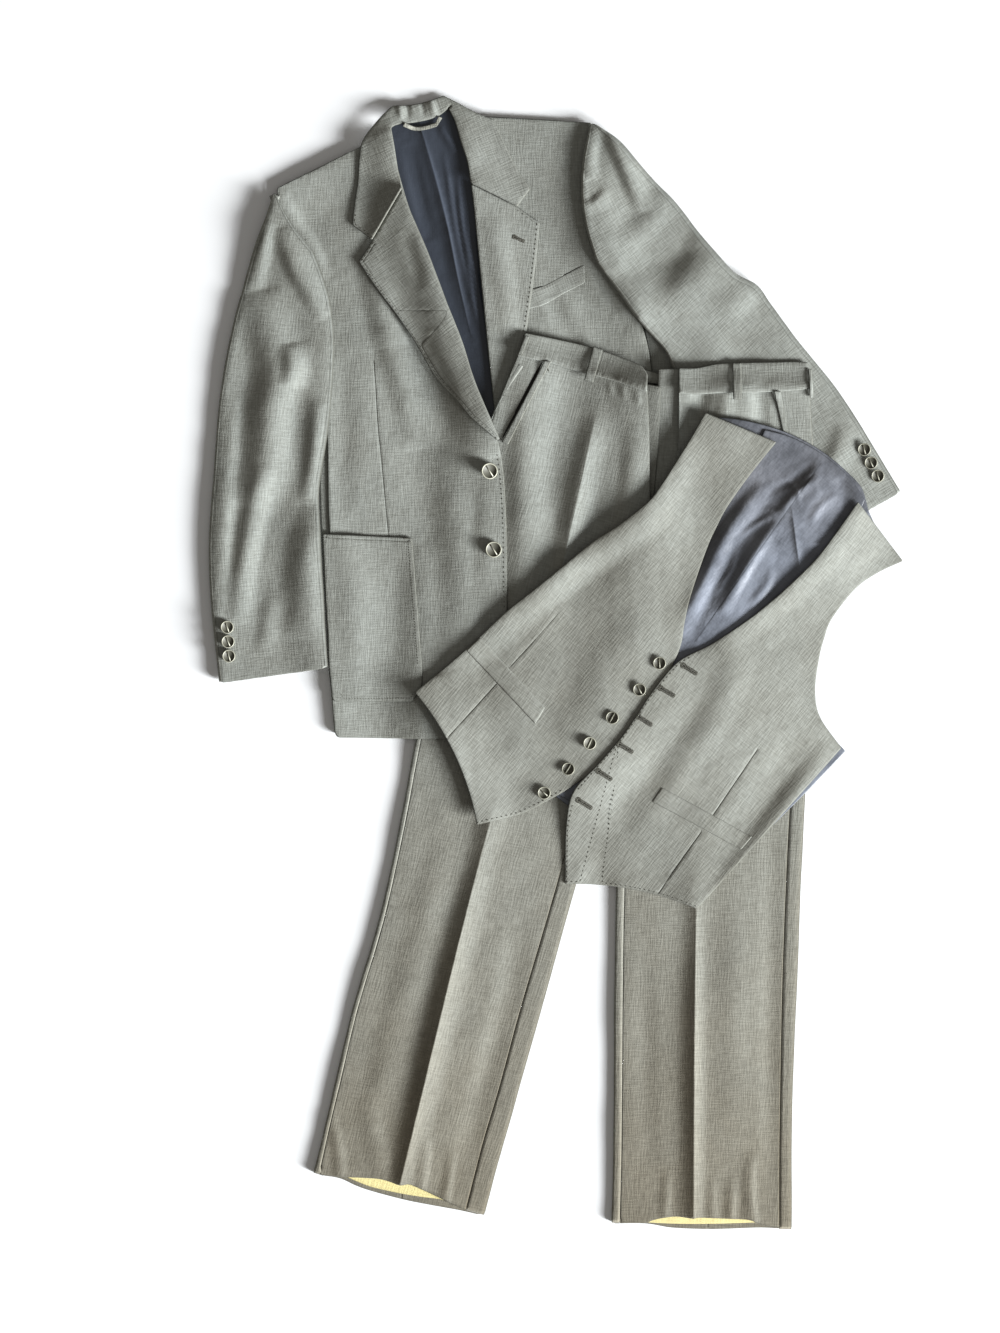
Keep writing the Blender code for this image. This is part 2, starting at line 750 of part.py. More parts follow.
def lay(heap, *arguments, **options):
    """Lay a sheet and add it to the heap."""
    heap.paint(sheet(heap, *arguments, **options))


def trim(heap, name, table, step, width=SMALL_STEP):
    """A small piece of suiting sewn on a panel: it follows the cloth below closely."""
    heap.paint(sheet(heap, name, table, SUITING, OLIVE_WOOL, step, width, close=True))


def leg_front(heap, name, table, folds):
    """A trouser front with its pressed crease: it falls steeply on the crease's left side."""
    rows = Rows(table, ROW_STEP)
    crease = rows.column("crease")[:, None]
    share = np.concatenate(
        [crease * np.array(LEFT_SHARES), crease + (1 - crease) * np.array(RIGHT_SHARES)], axis=1
    )
    rise = CREASE_RISE * np.array(RISE_SHARES)
    xy = rows.points(share * rows.width[:, None])
    z = rest(heap, xy) + rise + ridges(xy, folds)
    top = with_height(xy, z + SUITING)
    heap.paint(top)
    wall(name, top, with_height(xy, z), OLIVE_WOOL)


def turned_edge(rows, base, height, turn, side, upward):
    """Outer and inner points of cloth that turns over one edge, from the turned end to the base layer.

    base holds the base layer's heights in its columns. side is -1 for the left edge and 1 for the
    right one. The turned strip lies at the top where upward is true, or else at the bottom.
    """
    radius = height / 2
    first = base[:, 0] if side < 0 else base[:, -1]

    def place(distance, level):
        reach = distance if side < 0 else rows.width - distance
        xy = rows.points(np.broadcast_to(reach, rows.width.shape)[:, None])[:, 0]
        return np.concatenate([xy, (first + level)[:, None]], axis=1)

    strip = height if upward else 0.0
    inside = height - SUITING if upward else SUITING
    outer = [place(turn, strip), place(radius, strip), place(0.0, radius)]
    inner = [place(turn, inside), place(radius, inside), place(SUITING, radius)]
    return outer, inner


def leg_back(heap, name, table):
    """The back of a leg: it lies below and turns over both edges. Returns the filled leg's top."""
    rows = Rows(table, ROW_STEP)
    radius = LEG_HEIGHT / 2
    share = np.linspace(0, 1, LAYER_COLUMNS)
    distance = radius + (rows.width[:, None] - 2 * radius) * share
    xy = rows.points(distance)
    z = rest(heap, xy)
    left = turned_edge(rows, z, LEG_HEIGHT, rows.column("left_turn"), -1, True)
    right = turned_edge(rows, z, LEG_HEIGHT, rows.column("right_turn"), 1, True)
    low = [with_height(xy, z)[:, j] for j in range(LAYER_COLUMNS)]
    lined = [with_height(xy, z + SUITING)[:, j] for j in range(LAYER_COLUMNS)]
    outer = np.stack(left[0] + low + right[0][::-1], axis=1)
    inner = np.stack(left[1] + lined + right[1][::-1], axis=1)
    wall(name, outer, inner, OLIVE_WOOL)
    heap.paint(with_height(xy, z + SUITING))
    heap.paint(outer[:, :3])
    heap.paint(outer[:, -3:])
    return with_height(xy, z + LEG_HEIGHT)


def side_body(heap, name, table):
    """A side body that wraps the jacket's edge: a narrow strip above and a wider one below.

    Returns the upper points of both layers.
    """
    rows = Rows(table, ROW_STEP)
    radius = SIDE_HEIGHT / 2
    distance = np.stack([np.full(len(rows.width), radius), rows.column("right_turn")], axis=1)
    xy = rows.points(distance)
    z = rest(heap, xy)
    above = turned_edge(rows, z, SIDE_HEIGHT, rows.column("left_turn"), -1, True)
    low = [with_height(xy, z)[:, j] for j in range(2)]
    lined = [with_height(xy, z + SUITING)[:, j] for j in range(2)]
    outer = np.stack(above[0] + low, axis=1)
    inner = np.stack(above[1] + lined, axis=1)
    wall(name, outer, inner, OLIVE_WOOL)
    return [with_height(xy, z + SUITING), outer[:, :3]]


def sleeve(heap, side, table, folds):
    """A two-piece sleeve: the top sleeve turns under at both edges, with the under sleeve between."""
    rows = Rows(table, ROW_STEP)
    radius = SLEEVE_HEIGHT / 2
    left_turn = rows.column("left_turn")
    right_turn = rows.column("right_turn")
    share = np.linspace(0, 1, LAYER_COLUMNS)
    span = rows.width - left_turn - right_turn
    middle = left_turn[:, None] + span[:, None] * share
    distance = np.concatenate(
        [np.full((len(span), 1), radius), middle, (rows.width - radius)[:, None]], axis=1
    )
    xy = rows.points(distance)
    z = rest(heap, xy)
    first = left_turn[:, None] + SEAM_GAP
    last = (rows.width - right_turn)[:, None] - SEAM_GAP
    under_xy = rows.points(np.clip(middle, first, last))
    under_z = z[:, 1:-1]
    wall(
        "jacket_sleeve_%s_under" % side,
        with_height(under_xy, under_z + SUITING),
        with_height(under_xy, under_z),
        OLIVE_WOOL,
    )
    rise = SLEEVE_HEIGHT + soft_edges(xy.shape[:2], SLEEVE_PUFF) + ridges(xy, folds)
    left = turned_edge(rows, z, SLEEVE_HEIGHT, left_turn, -1, False)
    right = turned_edge(rows, z, SLEEVE_HEIGHT, right_turn, 1, False)
    high = [with_height(xy, z + rise)[:, j] for j in range(xy.shape[1])]
    lined = [with_height(xy, z + rise - SUITING)[:, j] for j in range(xy.shape[1])]
    outer = np.stack(left[0] + high + right[0][::-1], axis=1)
    inner = np.stack(left[1] + lined + right[1][::-1], axis=1)
    wall("jacket_sleeve_%s_top" % side, outer, inner, OLIVE_WOOL)
    heap.paint(outer[:, 2:-2])


def button(heap, spec):
    """A turned button with a raised rim and a dished face, on a short shank."""
    radius = spec.radius
    top = SHANK_HEIGHT + BUTTON_THICKNESS
    profile = [
        (SHANK_RADIUS, 0.0),
        (SHANK_RADIUS, SHANK_HEIGHT),
        (radius, SHANK_HEIGHT + RIM_SLOPE),
        (radius - RIM_ROUNDING, top),
        (radius - RIM_WIDTH, top - RECESS),
    ]
    tilt_x = math.radians(spec.tilt_x)
    tilt_y = math.radians(spec.tilt_y)
    steps = np.linspace(0, 2 * math.pi, BUTTON_SIDES, endpoint=False)
    disc = np.array([(spec.x + radius * math.cos(a), spec.y + radius * math.sin(a)) for a in steps])
    field = heap.widened()
    seat = heap.height(np.array([spec.x]), np.array([spec.y]), field)[0] + SEAM_GAP
    near = heap.height(disc[:, 0], disc[:, 1], field).max()
    drop = radius * (abs(math.sin(tilt_x)) + abs(math.sin(tilt_y)))
    clearance = max(0.0, near + SEAM_GAP + drop - seat - SHANK_HEIGHT - RIM_SLOPE)
    vertices = []
    for k, (r, h) in enumerate(profile):
        for angle in steps:
            x = r * math.cos(angle)
            y = r * math.sin(angle)
            lean = x * math.sin(tilt_y) + y * math.sin(tilt_x) if k > 0 else 0.0
            lift = clearance if k > 0 else 0.0
            vertices.append((spec.x + x, spec.y + y, seat + h + lift + lean))
    faces = []
    last_ring = (len(profile) - 1) * BUTTON_SIDES
    for ring in range(0, last_ring, BUTTON_SIDES):
        for i in range(BUTTON_SIDES):
            a = ring + i
            b = ring + (i + 1) % BUTTON_SIDES
            faces.append((a, b, b + BUTTON_SIDES))
            faces.append((a, b + BUTTON_SIDES, a + BUTTON_SIDES))
    faces.append(tuple(range(BUTTON_SIDES - 1, -1, -1)))
    faces.append(tuple(last_ring + i for i in range(BUTTON_SIDES)))
    add_object(spec.name, vertices, faces, PALE_METAL)


def jacket_body(heap):
    """The backs, side bodies, lining and left front, which all lie below the trousers."""
    tops = [
        sheet(heap, "jacket_back_right", BACK_RIGHT, SUITING, OLIVE_WOOL, BACK_STEP, BACK_STEP),
        sheet(heap, "jacket_back_left", BACK_LEFT, SUITING, OLIVE_WOOL, BACK_STEP, BACK_STEP),
        *side_body(heap, "jacket_side_right", SIDE_RIGHT),
    ]
    for top in tops:
        heap.paint(top)
    lay(heap, "jacket_back_lining", BACK_LINING, LINING, SLATE_SATIN, 30, 24, 0.6, LINING_FOLDS)
    lay(heap, "jacket_side_left", SIDE_LEFT, SUITING, OLIVE_WOOL, 60, 40)
    lay(heap, "jacket_front_left", FRONT_LEFT, FACED, OLIVE_WOOL, 36, 34, 1.0, FRONT_LEFT_FOLDS)
    trim(heap, "jacket_breast_welt", BREAST_WELT, SMALL_STEP)
    lay(heap, "jacket_lapel_left", LAPEL_LEFT, FACED, OLIVE_WOOL, 30, 24, 0.8)


def leg(heap, side, back, facing, front, folds, between=()):
    """One leg: its back with the facing of the hem inside, and its front over the filled leg."""
    filled = leg_back(heap, "trousers_back_%s" % side, back)
    lay(heap, "trousers_hem_facing_%s" % side, facing, LINING, CREAM_COTTON, 20, 24)
    heap.paint(filled)
    for name, table in between:
        lay(heap, name, table, SUITING, OLIVE_WOOL, 30, SMALL_STEP)
    leg_front(heap, "trousers_front_%s" % side, front, folds)


def trousers(heap):
    """Both waistband backs, then the legs, and the waistband fronts and trims over them."""
    lay(heap, "trousers_waistband_back_left", WAISTBAND_BACK_LEFT, SUITING, OLIVE_WOOL, 45, 20)
    lay(heap, "trousers_waistband_back_right", WAISTBAND_BACK_RIGHT, SUITING, OLIVE_WOOL, 45, 20)
    fly = [("trousers_fly_underlap", FLY_UNDERLAP)]
    leg(heap, "left", LEG_BACK_LEFT, HEM_FACING_LEFT, LEG_FRONT_LEFT, TROUSER_LEFT_FOLDS, fly)
    leg(heap, "right", LEG_BACK_RIGHT, HEM_FACING_RIGHT, LEG_FRONT_RIGHT, TROUSER_RIGHT_FOLDS)
    trim(heap, "trousers_waistband_left", WAISTBAND_LEFT, 26)
    trim(heap, "trousers_waistband_right", WAISTBAND_RIGHT, 26)
    trim(heap, "trousers_slash_welt_right", SLASH_WELT_RIGHT, 20)
    trim(heap, "trousers_slash_welt_left", SLASH_WELT_LEFT, 14)
    for name, table in BELT_LOOPS.items():
        trim(heap, name, table, 9)


def jacket_over(heap):
    """The right front with what is sewn on it, over the trousers' edge, and the collar."""
    lay(heap, "jacket_front_right", FRONT_RIGHT, FACED, OLIVE_WOOL, 34, 30, 1.2, FRONT_RIGHT_FOLDS)
    lay(heap, "jacket_pocket_right", PATCH_POCKET, SUITING, OLIVE_WOOL, 34, 28, close=True)
    lapel = sheet(heap, "jacket_lapel_right", LAPEL_RIGHT, FACED, OLIVE_WOOL, 30, 24, 0.8)
    collar = sheet(heap, "jacket_collar", COLLAR, FACED, OLIVE_WOOL, 24, 20, 0.8)
    heap.paint(lapel)
    heap.paint(collar)
    lay(heap, "jacket_hanger_loop", HANGER_LOOP, LINING, BRAID, 12, 8, close=True)


def waistcoat(heap):
    """The satin back, its lining, and the two fronts with their welts."""
    lay(heap, "waistcoat_back", VEST_BACK, LINING, LILAC_SATIN, 42, 42)
    lay(heap, "waistcoat_back_lining", VEST_LINING, LINING, LILAC_SATIN, 32, 26, 0.4, SATIN_FOLDS)
    lay(heap, "waistcoat_front_right", VEST_FRONT_RIGHT, FACED, OLIVE_WOOL, 34, 32, 1.0, VEST_RIGHT_FOLDS)
    lay(heap, "waistcoat_front_left", VEST_FRONT_LEFT, FACED, OLIVE_WOOL, 34, 32, 1.0, VEST_LEFT_FOLDS)
    trim(heap, "waistcoat_welt_right", VEST_WELT_RIGHT, 30, 24)
    trim(heap, "waistcoat_welt_left", VEST_WELT_LEFT, 30, 24)


def main():
    for thing in list(bpy.data.objects):
        bpy.data.objects.remove(thing)
    heap = Heap()
    jacket_body(heap)
    sleeve(heap, "left", SLEEVE_LEFT, SLEEVE_LEFT_FOLDS)
    trousers(heap)
    jacket_over(heap)
    sleeve(heap, "right", SLEEVE_RIGHT, SLEEVE_RIGHT_FOLDS)
    waistcoat(heap)
    for spec in BUTTONS:
        button(heap, spec)


main()
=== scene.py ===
"""The looks of a three-piece suit laid flat: its cloth, folds, seams, stitches, buttons and stage.

Tables are in millimetres in the frame's axes: X to the viewer's right, Y up the picture to the
shoulders and Z up from the surface. Right and left in names are the wearer's.
"""
import math
from collections import namedtuple

import bmesh
import bpy
import numpy as np
from mathutils import Matrix, Vector
from mathutils.bvhtree import BVHTree
from mathutils.geometry import delaunay_2d_cdt


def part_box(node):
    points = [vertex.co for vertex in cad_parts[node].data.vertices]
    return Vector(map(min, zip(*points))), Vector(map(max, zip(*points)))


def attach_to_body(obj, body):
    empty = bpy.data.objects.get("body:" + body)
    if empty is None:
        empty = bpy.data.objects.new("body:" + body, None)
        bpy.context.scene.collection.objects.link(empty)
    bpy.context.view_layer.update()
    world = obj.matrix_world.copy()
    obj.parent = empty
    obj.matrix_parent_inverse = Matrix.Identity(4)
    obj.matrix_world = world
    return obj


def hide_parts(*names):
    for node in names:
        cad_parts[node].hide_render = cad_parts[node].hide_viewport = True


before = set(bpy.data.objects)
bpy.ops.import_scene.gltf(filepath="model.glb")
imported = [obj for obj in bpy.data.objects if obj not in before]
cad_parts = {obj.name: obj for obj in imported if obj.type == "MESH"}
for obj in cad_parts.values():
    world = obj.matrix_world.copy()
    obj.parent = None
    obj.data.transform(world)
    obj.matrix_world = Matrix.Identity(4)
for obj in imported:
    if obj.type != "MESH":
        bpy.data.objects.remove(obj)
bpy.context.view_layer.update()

bl_info = {
    "name": "Suit laid flat",
    "version": (1, 0, 0),
    "blender": (4, 5, 0),
    "location": "View3D > Sidebar > Suit",
    "description": "Makes the cloth, trims and stage of a three-piece suit laid flat",
    "category": "Add Mesh",
}

MM = 0.001

# How cloth lies, in mm.
GAP = 0.25
CELL = 2.0
HALF_X = 480.0
HALF_Y = 750.0
BLUR_CELLS = 5
BLUR_PASSES = 3
RELAX_ROUNDS = 60
PAINT_STEP = 1.4
UP = 0.02
CORNER_ANGLE = 36.0
CORNER_CUT = 1.3
RIM_RINGS = (0.5, 1.5)
SEAM_GAP = 0.3
EDGE_ROUND = 1.5
PATH_STEP = 6.0
TUBE_FULL = 50.0
# The direction across the floor towards the lights, which sets the painted shade.
LIGHT_SIDE = (0.88, -0.47)
SEAM_RISE = 0.36
# How much tanner and darker the suiting is painted where it faces away from the light: painted shade.
PAINTED_SHADE_TAN = 0.8

# Panels in the order in which they are laid. turn and tube are for cloth that turns over at its
# sides: the width turned and the height of the flattened tube.
Panel = namedtuple("Panel", "node cloth wall step grain rough turn tube", defaults=(0.35, 0, 0))
Fold = namedtuple("Fold", "width height lean edge path")
Seam = namedtuple("Seam", "depth width path")
Edge = namedtuple("Edge", "start end inset")
Stitch = namedtuple("Stitch", "node path")
Button = namedtuple("Button", "node tilt_x tilt_y bar")

UPRIGHT = ((0, 0), (0, 100))
LEVEL = ((0, 0), (100, 0))
WAISTCOAT = ((0, 0), (63, 78))
LEFT_LEG = ((171, -650), (186, 340))
RIGHT_LEG = ((-196, -650), (-141, -427), (-110, -302), (-84, -200), (12, 140), (60, 330))
LEFT_SLEEVE = ((372, 182), (322, 260), (268, 335), (205, 405), (140, 470), (90, 530), (46, 600))
RIGHT_SLEEVE = ((-353, -15), (-364, 150), (-358, 300), (-342, 440), (-322, 560))

JACKET_BELOW = [
    Panel("jacket_back_right", "suiting", 1.3, 9, UPRIGHT),
    Panel("jacket_back_left", "suiting", 1.3, 9, UPRIGHT),
    Panel("jacket_side_right", "suiting", 1.3, 5, UPRIGHT, 0.2, 12, 3.8),
    Panel("jacket_back_lining", "lining", 1.0, 3.2, UPRIGHT),
    Panel("jacket_side_left", "suiting", 1.3, 9, UPRIGHT),
    Panel("jacket_front_left", "suiting", 1.8, 3.6, UPRIGHT),
    Panel("jacket_breast_welt", "suiting", 0.2, 2.5, ((-42, 455), (36, 488))),
    Panel("jacket_lapel_left", "suiting", 2.4, 3.2, ((-60, 300), (-30, 560))),
    Panel("jacket_sleeve_left_under", "suiting", 1.3, 8, LEFT_SLEEVE),
    Panel("jacket_sleeve_left_top", "suiting", 1.3, 3.6, LEFT_SLEEVE, 0.5, 11, 6.5),
]
TROUSERS = [
    Panel("trousers_waistband_back_left", "suiting", 1.3, 6, LEVEL),
    Panel("trousers_waistband_back_right", "suiting", 1.3, 6, LEVEL),
    Panel("trousers_back_left", "suiting", 1.3, 6, LEFT_LEG, 0.3, "trousers_front_left", 5.4),
    Panel("trousers_hem_facing_left", "cotton", 0.9, 3.5, LEFT_LEG),
    Panel("trousers_fly_underlap", "suiting", 1.3, 3.5, LEFT_LEG),
    Panel("trousers_front_left", "suiting", 1.3, 3.6, LEFT_LEG, 0.4),
    Panel("trousers_back_right", "suiting", 1.3, 6, RIGHT_LEG, 0.3, "trousers_front_right", 5.6),
    Panel("trousers_hem_facing_right", "cotton", 0.9, 3.5, RIGHT_LEG),
    Panel("trousers_front_right", "suiting", 1.3, 3.6, RIGHT_LEG, 0.4),
    Panel("trousers_waistband_left", "suiting", 1.5, 3, LEVEL, 0.2),
    Panel("trousers_waistband_right", "suiting", 1.5, 3, ((-49, 400), (114, 350)), 0.2),
    Panel("trousers_slash_welt_right", "suiting", 1.0, 2.2, RIGHT_LEG, 0.1),
    Panel("trousers_slash_welt_left", "suiting", 1.0, 2.2, LEFT_LEG, 0.1),
    Panel("trousers_belt_loop_right_front", "suiting", 1.4, 2, UPRIGHT, 0.1),
    Panel("trousers_belt_loop_right_side", "suiting", 1.4, 2, UPRIGHT, 0.1),
    Panel("trousers_belt_loop_left_front", "suiting", 1.4, 2, UPRIGHT, 0.1),
    Panel("trousers_belt_loop_left_side", "suiting", 1.4, 2, UPRIGHT, 0.1),
]
JACKET_ABOVE = [
    Panel("jacket_front_right", "suiting", 1.8, 3.6, UPRIGHT, 0.5),
    Panel("jacket_pocket_right", "suiting", 1.5, 3.4, UPRIGHT, 0.3),
    Panel("jacket_lapel_right", "suiting", 2.4, 3.2, ((-70, 270), (-236, 500))),
    Panel("jacket_collar", "suiting", 2.2, 3.2, ((0, 0), (-40, 100))),
    Panel("jacket_hanger_loop", "braid", 1.0, 1.6, LEVEL, 0.1),
    Panel("jacket_sleeve_right_under", "suiting", 1.3, 8, RIGHT_SLEEVE),
    Panel("jacket_sleeve_right_top", "suiting", 1.3, 3.6, RIGHT_SLEEVE, 0.5, 11, 6.5),
]
WAISTCOAT_PANELS = [
    Panel("waistcoat_back", "satin", 1.0, 5, WAISTCOAT),
    Panel("waistcoat_back_lining", "satin", 1.0, 3.2, WAISTCOAT),
    Panel("waistcoat_front_right", "suiting", 1.8, 3.6, WAISTCOAT, 0.5),
    Panel("waistcoat_front_left", "suiting", 1.8, 3.6, WAISTCOAT, 0.5),
    Panel("waistcoat_welt_right", "suiting", 0.6, 2.6, WAISTCOAT, 0.1),
    Panel("waistcoat_welt_left", "suiting", 0.6, 2.6, WAISTCOAT, 0.1),
]

# Pieces turned over at one side only, and a place on that side.
TURNED_AT = {"jacket_side_right": (-290, 200)}

# The middle of the fly and the height from which it is open: no cloth turns round beside it.
OPEN_FLY = (128, 120)

# Stretches of border that are sewn to another piece or turn over softly, so that no edge shows:
# level up to the seam where the third value is 0, or thinning over that many mm.
SEWN = {
    "jacket_front_right": [Edge((-350, 592), (-244, 646), 0), Edge((-300, 440), (-350, 592), 0)],
    "jacket_front_left": [Edge((-84, 686), (46, 678), 0)],
    "jacket_lapel_right": [Edge((-230, 529), (-192, 592), 0)],
    "jacket_collar": [Edge((-230, 529), (-192, 592), 0), Edge((-101, 600), (-48, 571), 0)],
    "jacket_lapel_left": [Edge((-101, 600), (-48, 571), 0)],
    "trousers_front_right": [
        Edge((-300, -620), (-70, 280), 0), Edge((-92, -685), (80, 0), 0), Edge((-30, 380), (110, 350), 0),
    ],
    "trousers_front_left": [
        Edge((84, -690), (90, -100), 0), Edge((285, -700), (290, 280), 0), Edge((130, 366), (280, 366), 0),
        Edge((140, 366), (128, 100), 0),
    ],
    "trousers_waistband_right": [Edge((-49, 385), (113, 340), 4)],
    "trousers_waistband_left": [Edge((153, 338), (318, 344), 4)],
    "trousers_fly_underlap": [Edge((128, 366), (115, 194), 3), Edge((162, 366), (150, 194), 3)],
    "trousers_slash_welt_right": [Edge((-60, 274), (-6, 378), 0)],
}

# Pieces sewn flush, whose edges do not stand off the cloth under them: they thin over this many mm.
FLUSH = {"jacket_breast_welt": 5.0, "waistcoat_welt_right": 2.0, "waistcoat_welt_left": 2.0}

